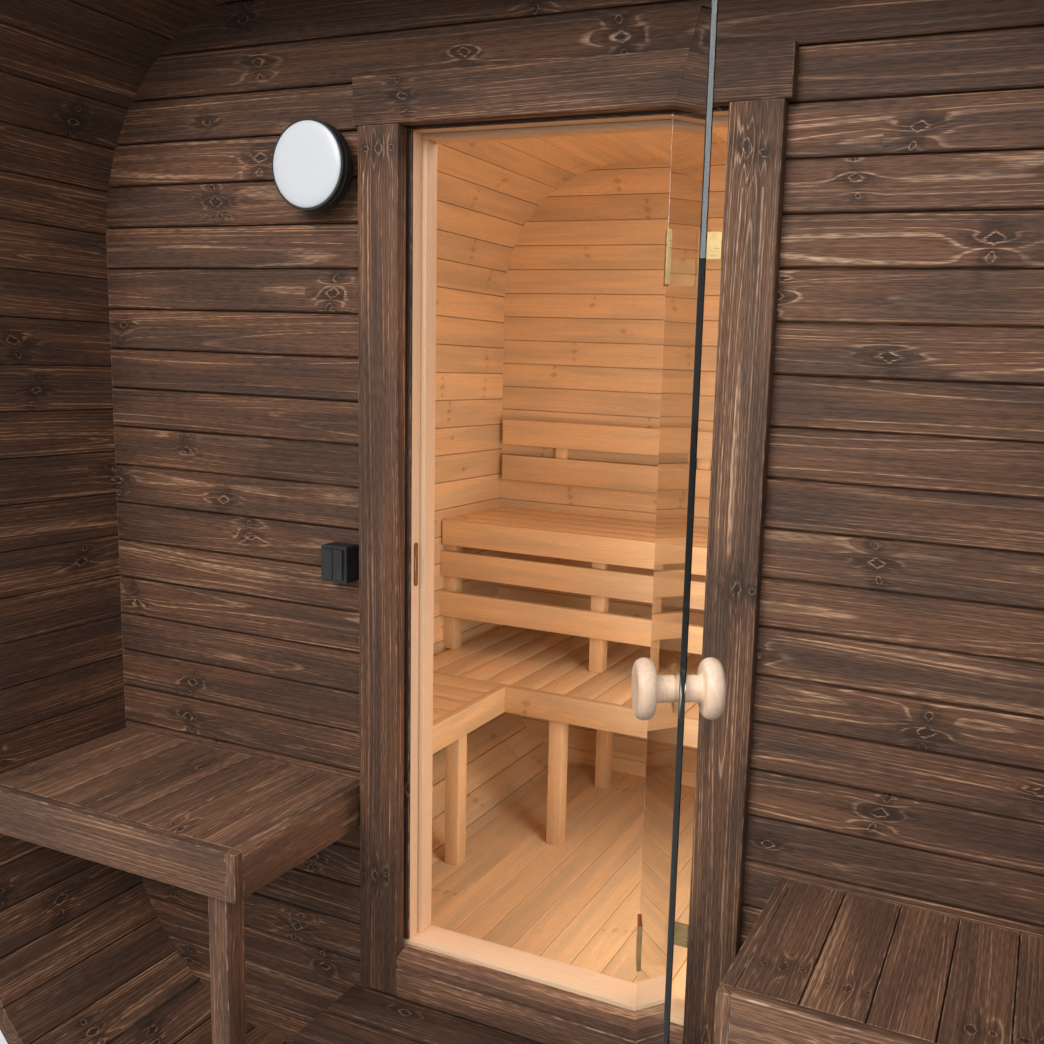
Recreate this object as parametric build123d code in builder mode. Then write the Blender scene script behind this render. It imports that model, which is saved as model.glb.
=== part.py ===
"""Outdoor sauna: rounded timber shell with an open terrace, glass door, benches and steam room."""
from math import cos, radians, sin, tan
import os

from build123d import *

os.makedirs("parts", exist_ok=True)

# shell
inner_w = 2262.0
inner_h = 2312.0
stave_t = 44.0
corner_r = 475.0
corner_staves = 8
terrace_depth = 395.0
room_depth = 1722.0
rear_overhang = 90.0
band_w = 20.0
band_t = 1.0
band_inset = 60.0

# cradles
cradle_h = 70.0
cradle_seat = 12.0
cradle_w = 1500.0
cradle_t = 95.0
cradle_inset = 150.0

# end walls
end_wall_t = 44.0

# door opening and its light frame
opening_w = 690.0
opening_sill_h = 306.0
opening_head_gap = 265.0
frame_t = 22.0
frame_depth = 73.0
frame_recess = 10.0
stop_t = 11.0
stop_depth = 38.0
threshold_h = 34.0
strike_w = 12.0
strike_h = 92.0
strike_t = 2.0
strike_rise = 829.0

# dark casings outside
casing_w = 95.0
casing_t = 28.0
casing_reveal = 4.0
head_casing_h = 90.0
head_overhang = 12.0
sill_h = 93.0
sill_fall = 12.0

# terrace deck
deck_h = 227.0
deck_w = 866.0
deck_slat_w = 92.0
deck_slat_t = 28.0
deck_gap = 12.0
deck_joist_t = 45.0
deck_joists = 4

# terrace benches
porch_seat_h = 458.0
porch_seat_depth = 375.0
porch_left_end = 430.0
porch_right_end = 490.0
porch_slat_w = 93.0
porch_slat_t = 28.0
porch_slat_gap = 4.0
porch_apron_h = 95.0
porch_apron_t = 22.0
porch_leg = 45.0
porch_leg_inset = 44.0

# wall lamp and switch
lamp_d = 173.0
lamp_clear = 174.5
lamp_drop = 357.0
lamp_base_t = 45.0
lamp_glass_t = 18.0
lamp_rim = 7.0
lamp_foot_d = 134.0
lamp_ring_t = 16.0
switch_w = 64.0
switch_h = 77.0
switch_t = 46.0
switch_clear = 129.0
switch_z = 1278.5
rocker_gap = 2.0
rocker_t = 5.0
rocker_margin = 7.0

# steam room
floor_t = 26.0
room_board_t = 26.0
lower_seat_h = 519.0
lower_arm_depth = 428.0
lower_back_depth = 686.0
lower_arm_start = 150.0
upper_seat_h = 999.0
upper_seat_depth = 423.0
room_slat_w = 94.0
room_slat_gap = 6.0
room_apron_h = 90.0
lower_apron_h = 85.0
room_apron_t = 26.0
upper_apron_end = 8.0
skirt_gap = 24.0
skirt_gap_low = 59.0
room_leg = 48.0
room_post_x = 517.0
back_leg_x = 580.0
front_leg_x = 530.0
arm_leg_y = 210.0
back_leg_y = 150.0
backrest_board_h = 97.0
backrest_strip_h = 40.0
backrest_board_t = 20.0
backrest_batten_t = 20.0
backrest_batten_inset = 221.0
backrest_top = 1486.0
backrest_end_gap = 26.0
scribe_fit = 0.3

# glass door
leaf_w = 634.0
leaf_t = 8.0
leaf_bottom_gap = 12.0
leaf_top_gap = 6.0
leaf_side_gap = 5.0
leaf_set_in = 16.0
pivot_in = 24.0
pivot_out = 26.0
open_angle = 114.5
hinge_h = 90.0
hinge_low = 177.0
hinge_drop = 250.0
barrel_r = 6.0
hinge_plate_t = 4.0
clamp_w = 45.0
clamp_t = 4.0
knob_d = 78.0
knob_t = 30.0
knob_neck_d = 26.0
knob_neck = 32.0
knob_edge = 68.0
knob_rise = 853.0
rose_d = 42.0
rose_t = 3.0

# levels
shell_out_z = cradle_h
shell_in_z = shell_out_z + stave_t
shell_top_in_z = shell_in_z + inner_h
shell_top_z = shell_top_in_z + stave_t
outer_w = inner_w + 2 * stave_t
outer_h = inner_h + 2 * stave_t
deck_z = shell_in_z + deck_h
cut_low_z = shell_in_z + opening_sill_h
cut_high_z = shell_top_in_z - opening_head_gap
threshold_z = cut_low_z + threshold_h
head_z = cut_high_z - frame_t
lamp_z = shell_top_in_z - lamp_drop
lamp_x = opening_w / 2 + lamp_clear
switch_x = opening_w / 2 + switch_clear
floor_z = shell_in_z + floor_t
lower_z = floor_z + lower_seat_h
upper_z = floor_z + upper_seat_h
leaf_low_z = threshold_z + leaf_bottom_gap
leaf_high_z = head_z - leaf_top_gap

# plan positions along Y, with the outer face of the door wall as the datum
jamb_x = opening_w / 2 - frame_t
pivot_x = jamb_x - leaf_side_gap - pivot_in
turn = radians(open_angle)
leaf_x0 = -pivot_in
leaf_x1 = leaf_w - pivot_in
leaf_y1 = -(pivot_out + frame_recess + leaf_set_in)
leaf_y0 = leaf_y1 - leaf_t
door_reach = pivot_out + leaf_x1 * sin(turn) + leaf_y0 * cos(turn)
shell_back = end_wall_t + room_depth + end_wall_t + rear_overhang
wall_y = (door_reach - shell_back) / 2
wall_in_y = wall_y + end_wall_t
back_y = wall_in_y + room_depth
front_y = wall_y - terrace_depth
rear_y = wall_y + shell_back
pivot_y = wall_y - pivot_out
mid_z = shell_in_z + inner_h / 2
shell_len = rear_y - front_y

# vertical planes across the shell, looking back along +Y
across_front = Plane(origin=(0, front_y, 0), x_dir=(1, 0, 0), z_dir=(0, -1, 0))
across_wall = Plane(origin=(0, wall_y, 0), x_dir=(1, 0, 0), z_dir=(0, -1, 0))
across_room = Plane(origin=(0, wall_in_y, 0), x_dir=(1, 0, 0), z_dir=(0, -1, 0))
across_back = Plane(origin=(0, back_y, 0), x_dir=(1, 0, 0), z_dir=(0, -1, 0))

# rounded section as a polygon of straight staves
step = 90.0 / corner_staves
core_w = inner_w / 2 - corner_r
core_low = shell_in_z + corner_r
core_high = shell_top_in_z - corner_r
outer_r = corner_r + stave_t
inner_pts = []
outer_pts = []
for quarter, (sx, cz) in enumerate(((1, core_high), (-1, core_high), (-1, core_low), (1, core_low))):
    for k in range(corner_staves + 1):
        a = radians(quarter * 90 + k * step)
        inner_pts.append((sx * core_w + corner_r * cos(a), cz + corner_r * sin(a)))
        outer_pts.append((sx * core_w + outer_r * cos(a), cz + outer_r * sin(a)))


# shell panels: two sides, roof, bottom and the four rounded corners
with BuildPart() as shell_wall_right:
    with BuildSketch(Plane.XY.offset(core_low)):
        with Locations((inner_w / 2 + stave_t / 2, (front_y + rear_y) / 2)):
            Rectangle(stave_t, shell_len)
    extrude(amount=core_high - core_low)
shell_wall_right.part.label = "shell_wall_right"
export_step(shell_wall_right.part, "parts/shell_wall_right.step")

with BuildPart() as shell_wall_left:
    with BuildSketch(Plane.XY.offset(core_low)):
        with Locations((-inner_w / 2 - stave_t / 2, (front_y + rear_y) / 2)):
            Rectangle(stave_t, shell_len)
    extrude(amount=core_high - core_low)
shell_wall_left.part.label = "shell_wall_left"
export_step(shell_wall_left.part, "parts/shell_wall_left.step")

with BuildPart() as shell_roof:
    with BuildSketch(Plane.XY.offset(shell_top_in_z)):
        with Locations((0, (front_y + rear_y) / 2)):
            Rectangle(2 * core_w, shell_len)
    extrude(amount=stave_t)
shell_roof.part.label = "shell_roof"
export_step(shell_roof.part, "parts/shell_roof.step")

with BuildPart() as shell_bottom:
    with BuildSketch(Plane.XY.offset(shell_out_z)):
        with Locations((0, (front_y + rear_y) / 2)):
            Rectangle(2 * core_w, shell_len)
    extrude(amount=stave_t)
shell_bottom.part.label = "shell_bottom"
export_step(shell_bottom.part, "parts/shell_bottom.step")

n = corner_staves + 1
with BuildPart() as shell_corner_top_right:
    with BuildSketch(across_front):
        with BuildLine():
            Polyline(*inner_pts[0:n], *reversed(outer_pts[0:n]), close=True)
        make_face()
    extrude(amount=-shell_len)
shell_corner_top_right.part.label = "shell_corner_top_right"
export_step(shell_corner_top_right.part, "parts/shell_corner_top_right.step")

with BuildPart() as shell_corner_top_left:
    with BuildSketch(across_front):
        with BuildLine():
            Polyline(*inner_pts[n:2 * n], *reversed(outer_pts[n:2 * n]), close=True)
        make_face()
    extrude(amount=-shell_len)
shell_corner_top_left.part.label = "shell_corner_top_left"
export_step(shell_corner_top_left.part, "parts/shell_corner_top_left.step")

with BuildPart() as shell_corner_low_left:
    with BuildSketch(across_front):
        with BuildLine():
            Polyline(*inner_pts[2 * n:3 * n], *reversed(outer_pts[2 * n:3 * n]), close=True)
        make_face()
    extrude(amount=-shell_len)
shell_corner_low_left.part.label = "shell_corner_low_left"
export_step(shell_corner_low_left.part, "parts/shell_corner_low_left.step")

with BuildPart() as shell_corner_low_right:
    with BuildSketch(across_front):
        with BuildLine():
            Polyline(*inner_pts[3 * n:4 * n], *reversed(outer_pts[3 * n:4 * n]), close=True)
        make_face()
    extrude(amount=-shell_len)
shell_corner_low_right.part.label = "shell_corner_low_right"
export_step(shell_corner_low_right.part, "parts/shell_corner_low_right.step")

# cradles under the shell, each hollowed where the bottom rests in it
with BuildPart() as cradles:
    for y in (front_y + cradle_inset, (front_y + rear_y) / 2, rear_y - cradle_inset):
        with BuildSketch(Plane.XY):
            with Locations((0, y)):
                Rectangle(cradle_w, cradle_t)
        extrude(amount=cradle_h + cradle_seat)
    with BuildSketch(across_front):
        with BuildLine():
            Polyline(*outer_pts, close=True)
        make_face()
    extrude(amount=-shell_len, mode=Mode.SUBTRACT)
cradles.part.label = "cradles"
export_step(cradles.part, "parts/cradles.step")

# steel bands round the shell near both ends
with BuildPart() as bands:
    for y in (front_y + band_inset, rear_y - band_inset - band_w):
        with BuildSketch(Plane(origin=(0, y, 0), x_dir=(1, 0, 0), z_dir=(0, -1, 0))):
            with BuildLine():
                Polyline(*outer_pts, close=True)
            make_face()
            offset(amount=band_t, kind=Kind.INTERSECTION)
            with BuildLine():
                Polyline(*outer_pts, close=True)
            make_face(mode=Mode.SUBTRACT)
        extrude(amount=-band_w)
bands.part.label = "bands"
export_step(bands.part, "parts/bands.step")

# door wall in four pieces round the opening
with BuildPart() as front_wall_left:
    with BuildSketch(across_wall):
        with BuildLine():
            Polyline(*inner_pts, close=True)
        make_face()
        with Locations((inner_w / 2 - opening_w / 2, mid_z)):
            Rectangle(inner_w, inner_h, mode=Mode.SUBTRACT)
    extrude(amount=-end_wall_t)
front_wall_left.part.label = "front_wall_left"
export_step(front_wall_left.part, "parts/front_wall_left.step")

with BuildPart() as front_wall_right:
    with BuildSketch(across_wall):
        with BuildLine():
            Polyline(*inner_pts, close=True)
        make_face()
        with Locations((opening_w / 2 - inner_w / 2, mid_z)):
            Rectangle(inner_w, inner_h, mode=Mode.SUBTRACT)
    extrude(amount=-end_wall_t)
front_wall_right.part.label = "front_wall_right"
export_step(front_wall_right.part, "parts/front_wall_right.step")

with BuildPart() as front_wall_over_door:
    with BuildSketch(Plane.XY.offset(cut_high_z)):
        with Locations((0, wall_y + end_wall_t / 2)):
            Rectangle(opening_w, end_wall_t)
    extrude(amount=shell_top_in_z - cut_high_z)
front_wall_over_door.part.label = "front_wall_over_door"
export_step(front_wall_over_door.part, "parts/front_wall_over_door.step")

with BuildPart() as front_wall_below_door:
    with BuildSketch(Plane.XY.offset(shell_in_z)):
        with Locations((0, wall_y + end_wall_t / 2)):
            Rectangle(opening_w, end_wall_t)
    extrude(amount=opening_sill_h)
front_wall_below_door.part.label = "front_wall_below_door"
export_step(front_wall_below_door.part, "parts/front_wall_below_door.step")

with BuildPart() as back_wall:
    with BuildSketch(across_back):
        with BuildLine():
            Polyline(*inner_pts, close=True)
        make_face()
    extrude(amount=-end_wall_t)
back_wall.part.label = "back_wall"
export_step(back_wall.part, "parts/back_wall.step")

# floor boards scribed to the rounded corners
with BuildPart() as room_floor:
    with BuildSketch(across_room):
        with BuildLine():
            Polyline(*inner_pts, close=True)
        make_face()
        with Locations((0, floor_z + inner_h / 2)):
            Rectangle(inner_w, inner_h, mode=Mode.SUBTRACT)
    extrude(amount=-room_depth)
room_floor.part.label = "room_floor"
export_step(room_floor.part, "parts/room_floor.step")

# light threshold and door frame with its stop
with BuildPart() as threshold:
    with BuildSketch(Plane.XY.offset(cut_low_z)):
        with Locations((0, wall_y + frame_recess + frame_depth / 2)):
            Rectangle(opening_w, frame_depth)
    extrude(amount=threshold_h)
threshold.part.label = "threshold"
export_step(threshold.part, "parts/threshold.step")

with BuildPart() as door_frame:
    with BuildSketch(Plane(origin=(0, wall_y + frame_recess, 0), x_dir=(1, 0, 0), z_dir=(0, -1, 0))):
        with Locations((0, (threshold_z + cut_high_z) / 2)):
            Rectangle(opening_w, cut_high_z - threshold_z)
        with Locations((0, (threshold_z + head_z) / 2)):
            Rectangle(2 * jamb_x, head_z - threshold_z, mode=Mode.SUBTRACT)
    extrude(amount=-frame_depth)
    with BuildSketch(Plane(origin=(0, wall_y + frame_recess + frame_depth - stop_depth, 0),
                           x_dir=(1, 0, 0), z_dir=(0, -1, 0))):
        with Locations((0, (threshold_z + head_z) / 2)):
            Rectangle(2 * jamb_x, head_z - threshold_z)
        with Locations((0, (threshold_z + head_z - stop_t) / 2)):
            Rectangle(2 * (jamb_x - stop_t), head_z - threshold_z - stop_t, mode=Mode.SUBTRACT)
    extrude(amount=-stop_depth)
door_frame.part.label = "door_frame"
export_step(door_frame.part, "parts/door_frame.step")

with BuildPart() as strike_plate:
    with BuildSketch(Plane(origin=(-jamb_x, wall_y + frame_recess + leaf_set_in + leaf_t / 2,
                                   threshold_z + strike_rise), x_dir=(0, 1, 0), z_dir=(1, 0, 0))):
        SlotOverall(strike_h, strike_w, rotation=90)
    extrude(amount=strike_t)
strike_plate.part.label = "strike_plate"
export_step(strike_plate.part, "parts/strike_plate.step")

# dark casings and sill
casing_in = opening_w / 2 - frame_t + casing_reveal
with BuildPart() as casing_left:
    with BuildSketch(Plane.XY.offset(deck_z)):
        with Locations((-casing_in - casing_w / 2, wall_y - casing_t / 2)):
            Rectangle(casing_w, casing_t)
    extrude(amount=cut_high_z - frame_t + casing_reveal - deck_z)
casing_left.part.label = "casing_left"
export_step(casing_left.part, "parts/casing_left.step")

with BuildPart() as casing_right:
    with BuildSketch(Plane.XY.offset(deck_z)):
        with Locations((casing_in + casing_w / 2, wall_y - casing_t / 2)):
            Rectangle(casing_w, casing_t)
    extrude(amount=cut_high_z - frame_t + casing_reveal - deck_z)
casing_right.part.label = "casing_right"
export_step(casing_right.part, "parts/casing_right.step")

with BuildPart() as casing_head:
    with BuildSketch(Plane.XY.offset(cut_high_z - frame_t + casing_reveal)):
        with Locations((0, wall_y - casing_t / 2)):
            Rectangle(2 * (casing_in + casing_w + head_overhang), casing_t)
    extrude(amount=head_casing_h)
casing_head.part.label = "casing_head"
export_step(casing_head.part, "parts/casing_head.step")

with BuildPart() as door_sill:
    with BuildSketch(Plane(origin=(-casing_in, wall_y, 0), x_dir=(0, 1, 0), z_dir=(1, 0, 0))):
        with BuildLine():
            Polyline((-casing_t, deck_z), (0, deck_z), (0, cut_low_z), (frame_recess, cut_low_z),
                     (frame_recess, deck_z + sill_h + sill_fall), (-casing_t, deck_z + sill_h), close=True)
        make_face()
    extrude(amount=2 * casing_in)
door_sill.part.label = "door_sill"
export_step(door_sill.part, "parts/door_sill.step")

# terrace deck on joists
slat_fit = terrace_depth - casing_t
deck_pitch = deck_slat_w + deck_gap
deck_slats = int((slat_fit + deck_gap) // deck_pitch)
deck_rest = slat_fit - deck_slats * deck_pitch
with BuildPart() as terrace_deck:
    with BuildSketch(Plane.XY.offset(deck_z - deck_slat_t)):
        for k in range(deck_slats):
            with Locations((0, wall_y - casing_t - deck_slat_w / 2 - k * deck_pitch)):
                Rectangle(deck_w, deck_slat_w)
        if deck_rest > 2 * deck_gap:
            with Locations((0, front_y + deck_rest / 2)):
                Rectangle(deck_w, deck_rest)
    extrude(amount=deck_slat_t)
    with BuildSketch(Plane.XY.offset(shell_in_z)):
        with Locations((0, (front_y + wall_y) / 2)):
            with GridLocations((deck_w - deck_joist_t - 2 * deck_gap) / (deck_joists - 1), 1, deck_joists, 1):
                Rectangle(deck_joist_t, terrace_depth)
    extrude(amount=deck_h - deck_slat_t)
terrace_deck.part.label = "terrace_deck"
export_step(terrace_deck.part, "parts/terrace_deck.step")

# terrace benches: slatted seats with an apron on the open sides and a corner leg
seat_z = deck_z + porch_seat_h
porch_pitch = porch_slat_w + porch_slat_gap
seat_y0 = wall_y - porch_seat_depth
for side, near in ((-1, porch_left_end), (1, porch_right_end)):
    name = "terrace_bench_left" if side < 0 else "terrace_bench_right"
    far = inner_w / 2
    slat_from = near + porch_apron_t
    slats = int((far - slat_from) // porch_pitch)
    last_w = far - slat_from - slats * porch_pitch
    with BuildPart() as porch_seat:
        with BuildSketch(Plane.XY.offset(seat_z - porch_slat_t)):
            for k in range(slats):
                with Locations((side * (slat_from + porch_slat_w / 2 + k * porch_pitch),
                                seat_y0 + porch_apron_t + (porch_seat_depth - porch_apron_t) / 2)):
                    Rectangle(porch_slat_w, porch_seat_depth - porch_apron_t)
            if last_w > 2 * porch_slat_gap:
                with Locations((side * (far - last_w / 2),
                                seat_y0 + porch_apron_t + (porch_seat_depth - porch_apron_t) / 2)):
                    Rectangle(last_w, porch_seat_depth - porch_apron_t)
        extrude(amount=porch_slat_t)
        with BuildSketch(Plane.XY.offset(seat_z - porch_apron_h)):
            with Locations((side * (near + far) / 2, seat_y0 + porch_apron_t / 2)):
                Rectangle(far - near, porch_apron_t)
            with Locations((side * (near + porch_apron_t / 2), seat_y0 + porch_seat_depth / 2)):
                Rectangle(porch_apron_t, porch_seat_depth)
        extrude(amount=porch_apron_h)
        with BuildSketch(Plane.XY.offset(seat_z - porch_apron_h)):
            with Locations((side * (near + far) / 2, wall_y - porch_apron_t / 2)):
                Rectangle(far - near, porch_apron_t)
            with Locations((side * (far - porch_apron_t / 2), seat_y0 + porch_seat_depth / 2)):
                Rectangle(porch_apron_t, porch_seat_depth)
        extrude(amount=porch_apron_h - porch_slat_t)
    porch_seat.part.label = name
    export_step(porch_seat.part, "parts/" + name + ".step")

with BuildPart() as terrace_bench_legs:
    for side, near in ((-1, porch_left_end), (1, porch_right_end)):
        with BuildSketch(Plane.XY.offset(seat_z - porch_apron_h)):
            with Locations((side * (near + porch_leg_inset + porch_leg / 2),
                            seat_y0 + porch_apron_t + porch_leg / 2)):
                Rectangle(porch_leg, porch_leg)
        extrude(amount=-(seat_z - porch_apron_h - shell_in_z))
terrace_bench_legs.part.label = "terrace_bench_legs"
export_step(terrace_bench_legs.part, "parts/terrace_bench_legs.step")

# round wall lamp and double switch
with BuildPart() as lamp_base:
    with BuildSketch(Plane(origin=(-lamp_x, wall_y, lamp_z), x_dir=(1, 0, 0), z_dir=(0, -1, 0))):
        Circle(lamp_foot_d / 2)
    with BuildSketch(Plane(origin=(-lamp_x, wall_y - lamp_base_t + lamp_ring_t, lamp_z),
                           x_dir=(1, 0, 0), z_dir=(0, -1, 0))):
        Circle(lamp_d / 2)
    loft()
    with BuildSketch(Plane(origin=(-lamp_x, wall_y - lamp_base_t + lamp_ring_t, lamp_z),
                           x_dir=(1, 0, 0), z_dir=(0, -1, 0))):
        Circle(lamp_d / 2)
    extrude(amount=lamp_ring_t)
    fillet(lamp_base.faces().sort_by(Axis.Y)[0].edges(), lamp_rim / 3)
lamp_base.part.label = "lamp_base"
export_step(lamp_base.part, "parts/lamp_base.step")

with BuildPart() as lamp_diffuser:
    with BuildSketch(Plane(origin=(-lamp_x, wall_y - lamp_base_t, lamp_z), x_dir=(1, 0, 0), z_dir=(0, -1, 0))):
        Circle(lamp_d / 2 - lamp_rim)
    extrude(amount=lamp_glass_t)
    fillet(lamp_diffuser.faces().sort_by(Axis.Y)[0].edges(), lamp_glass_t * 0.6)
lamp_diffuser.part.label = "lamp_diffuser"
export_step(lamp_diffuser.part, "parts/lamp_diffuser.step")

with BuildPart() as switch_box:
    with BuildSketch(Plane(origin=(-switch_x, wall_y, switch_z), x_dir=(1, 0, 0), z_dir=(0, -1, 0))):
        RectangleRounded(switch_w, switch_h, rocker_t)
    extrude(amount=switch_t - rocker_t)
switch_box.part.label = "switch_box"
export_step(switch_box.part, "parts/switch_box.step")

with BuildPart() as switch_rockers:
    with BuildSketch(Plane(origin=(-switch_x, wall_y - switch_t + rocker_t, switch_z),
                           x_dir=(1, 0, 0), z_dir=(0, -1, 0))):
        with GridLocations((switch_w - 2 * rocker_margin) / 2, 1, 2, 1):
            Rectangle((switch_w - 2 * rocker_margin) / 2 - rocker_gap, switch_h - 2 * rocker_margin)
    extrude(amount=rocker_t)
switch_rockers.part.label = "switch_rockers"
export_step(switch_rockers.part, "parts/switch_rockers.step")

# lower bench: an L with one arm along the left wall and one along the back wall
side_x = inner_w / 2
arm_x = -side_x + lower_arm_depth
low_back_y = back_y - lower_back_depth
arm_y0 = wall_in_y + lower_arm_start
room_pitch = room_slat_w + room_slat_gap
low_drop = max(0.0, core_low - (lower_z - lower_apron_h))
low_side_x = side_x - low_drop * tan(radians(step / 2)) - scribe_fit
with BuildPart() as lower_bench_back:
    with BuildSketch(Plane.XY.offset(lower_z - room_board_t)):
        span = 2 * low_side_x
        count = int(span // room_pitch)
        lead = (span - count * room_pitch + room_slat_gap) / 2
        for k in range(count):
            with Locations((-low_side_x + lead + room_slat_w / 2 + k * room_pitch,
                            low_back_y + room_apron_t + (lower_back_depth - room_apron_t) / 2)):
                Rectangle(room_slat_w, lower_back_depth - room_apron_t)
    extrude(amount=room_board_t)
    with BuildSketch(Plane.XY.offset(lower_z - lower_apron_h)):
        with Locations(((arm_x - room_apron_t + low_side_x) / 2, low_back_y + room_apron_t / 2)):
            Rectangle(low_side_x - arm_x + room_apron_t, room_apron_t)
    extrude(amount=lower_apron_h)
    with BuildSketch(Plane.XY.offset(lower_z - lower_apron_h)):
        with Locations((0, back_y - room_apron_t / 2)):
            Rectangle(2 * low_side_x, room_apron_t)
        with Locations((0, low_back_y + lower_back_depth / 2)):
            Rectangle(2 * low_side_x, room_apron_t)
        with Locations(((-low_side_x + arm_x - room_apron_t) / 2, low_back_y + room_apron_t)):
            Rectangle(arm_x - room_apron_t + low_side_x, 2 * room_apron_t)
    extrude(amount=lower_apron_h - room_board_t)
lower_bench_back.part.label = "lower_bench_back"
export_step(lower_bench_back.part, "parts/lower_bench_back.step")

with BuildPart() as lower_bench_side:
    arm_len = low_back_y - arm_y0
    with BuildSketch(Plane.XY.offset(lower_z - room_board_t)):
        count = int((arm_len + room_apron_t) // room_pitch)
        for k in range(count):
            with Locations(((-low_side_x + arm_x - room_apron_t) / 2,
                            low_back_y + room_apron_t - room_slat_gap - room_slat_w / 2 - k * room_pitch)):
                Rectangle(arm_x - room_apron_t + low_side_x, room_slat_w)
    extrude(amount=room_board_t)
    with BuildSketch(Plane.XY.offset(lower_z - lower_apron_h)):
        with Locations((arm_x - room_apron_t / 2, low_back_y - arm_len / 2)):
            Rectangle(room_apron_t, arm_len)
    extrude(amount=lower_apron_h)
    with BuildSketch(Plane.XY.offset(lower_z - lower_apron_h)):
        with Locations((-low_side_x + room_apron_t / 2, low_back_y - arm_len / 2)):
            Rectangle(room_apron_t, arm_len)
        with Locations(((-low_side_x + arm_x) / 2, arm_y0 + room_apron_t / 2)):
            Rectangle(arm_x + low_side_x, room_apron_t)
    extrude(amount=lower_apron_h - room_board_t)
lower_bench_side.part.label = "lower_bench_side"
export_step(lower_bench_side.part, "parts/lower_bench_side.step")

# legs of the lower bench stand on the floor or on the lower staves that curve up beside it
with BuildPart() as lower_bench_legs:
    with BuildSketch(Plane.XY.offset(lower_z - lower_apron_h)):
        for x, y in ((arm_x - room_apron_t - room_leg / 2, arm_y0 + room_apron_t + room_leg / 2),
                     (arm_x - room_apron_t - room_leg / 2, low_back_y - arm_leg_y),
                     (-front_leg_x, low_back_y + room_apron_t + room_leg / 2),
                     (front_leg_x, low_back_y + room_apron_t + room_leg / 2),
                     (-back_leg_x, back_y - back_leg_y),
                     (back_leg_x, back_y - back_leg_y)):
            with Locations((x, y)):
                Rectangle(room_leg, room_leg)
    extrude(amount=-(lower_z - lower_apron_h - shell_in_z))
    with BuildSketch(across_front):
        Rectangle(4 * inner_w, 4 * inner_h)
        with BuildLine():
            Polyline(*inner_pts, close=True)
        make_face(mode=Mode.SUBTRACT)
    extrude(amount=-shell_len, mode=Mode.SUBTRACT)
    with BuildSketch(across_room):
        with Locations((0, floor_z - floor_t / 2)):
            Rectangle(inner_w, floor_t)
    extrude(amount=-room_depth, mode=Mode.SUBTRACT)
lower_bench_legs.part.label = "lower_bench_legs"
export_step(lower_bench_legs.part, "parts/lower_bench_legs.step")

# upper bench with three front boards
upper_y0 = back_y - upper_seat_depth
with BuildPart() as upper_bench:
    with BuildSketch(Plane.XY.offset(upper_z - room_board_t)):
        count = int((upper_seat_depth - room_apron_t + room_slat_gap) // room_pitch)
        lead = (upper_seat_depth - room_apron_t - count * room_pitch + room_slat_gap) / 2
        for k in range(count):
            with Locations((0, upper_y0 + room_apron_t + lead + room_slat_w / 2 + k * room_pitch)):
                Rectangle(2 * side_x, room_slat_w)
    extrude(amount=room_board_t)
    with BuildSketch(Plane.XY.offset(upper_z - room_apron_h)):
        with Locations((0, upper_y0 + room_apron_t / 2)):
            Rectangle(2 * (side_x - upper_apron_end), room_apron_t)
    extrude(amount=room_apron_h)
    with BuildSketch(Plane.XY.offset(upper_z - room_apron_h)):
        with Locations((0, back_y - upper_seat_depth / 2)):
            with GridLocations((2 * side_x - room_leg) / 3, 1, 4, 1):
                Rectangle(room_leg, upper_seat_depth)
    extrude(amount=room_apron_h - room_board_t)
upper_bench.part.label = "upper_bench"
export_step(upper_bench.part, "parts/upper_bench.step")

skirt1_z = upper_z - room_apron_h - skirt_gap - room_apron_h
skirt2_z = skirt1_z - skirt_gap_low - room_apron_h
with BuildPart() as bench_skirt:
    with BuildSketch(Plane.XY.offset(skirt1_z)):
        with Locations((0, upper_y0 + room_apron_t / 2)):
            Rectangle(2 * side_x, room_apron_t)
    extrude(amount=room_apron_h)
    with BuildSketch(Plane.XY.offset(skirt2_z)):
        with Locations((0, upper_y0 + room_apron_t / 2)):
            Rectangle(2 * side_x, room_apron_t)
    extrude(amount=room_apron_h)
    with BuildSketch(Plane.XY.offset(lower_z)):
        for x in (-side_x + room_leg / 2, -room_post_x, room_post_x, side_x - room_leg / 2):
            with Locations((x, upper_y0 + room_apron_t + room_leg / 2)):
                Rectangle(room_leg, room_leg)
    extrude(amount=upper_z - room_apron_h - lower_z)
bench_skirt.part.label = "bench_skirt"
export_step(bench_skirt.part, "parts/bench_skirt.step")

# backrest boards on battens
rest_w = 2 * (side_x - backrest_end_gap)
rest_h = 2 * backrest_board_h + backrest_strip_h
with BuildPart() as backrest:
    with BuildSketch(Plane.XY.offset(backrest_top - backrest_board_h)):
        with Locations((0, back_y - backrest_batten_t - backrest_board_t / 2)):
            Rectangle(rest_w, backrest_board_t)
    extrude(amount=backrest_board_h)
    with BuildSketch(Plane.XY.offset(backrest_top - rest_h)):
        with Locations((0, back_y - backrest_batten_t - backrest_board_t / 2)):
            Rectangle(rest_w, backrest_board_t)
    extrude(amount=backrest_board_h)
backrest.part.label = "backrest"
export_step(backrest.part, "parts/backrest.step")

# battens that hold the backrest boards off the back wall
with BuildPart() as backrest_battens:
    with BuildSketch(Plane.XY.offset(backrest_top - rest_h)):
        with Locations((0, back_y - backrest_batten_t / 2)):
            with GridLocations((rest_w - 2 * backrest_batten_inset - room_leg) / 3, 1, 4, 1):
                Rectangle(room_leg, backrest_batten_t)
    extrude(amount=rest_h)
backrest_battens.part.label = "backrest_battens"
export_step(backrest_battens.part, "parts/backrest_battens.step")

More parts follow.
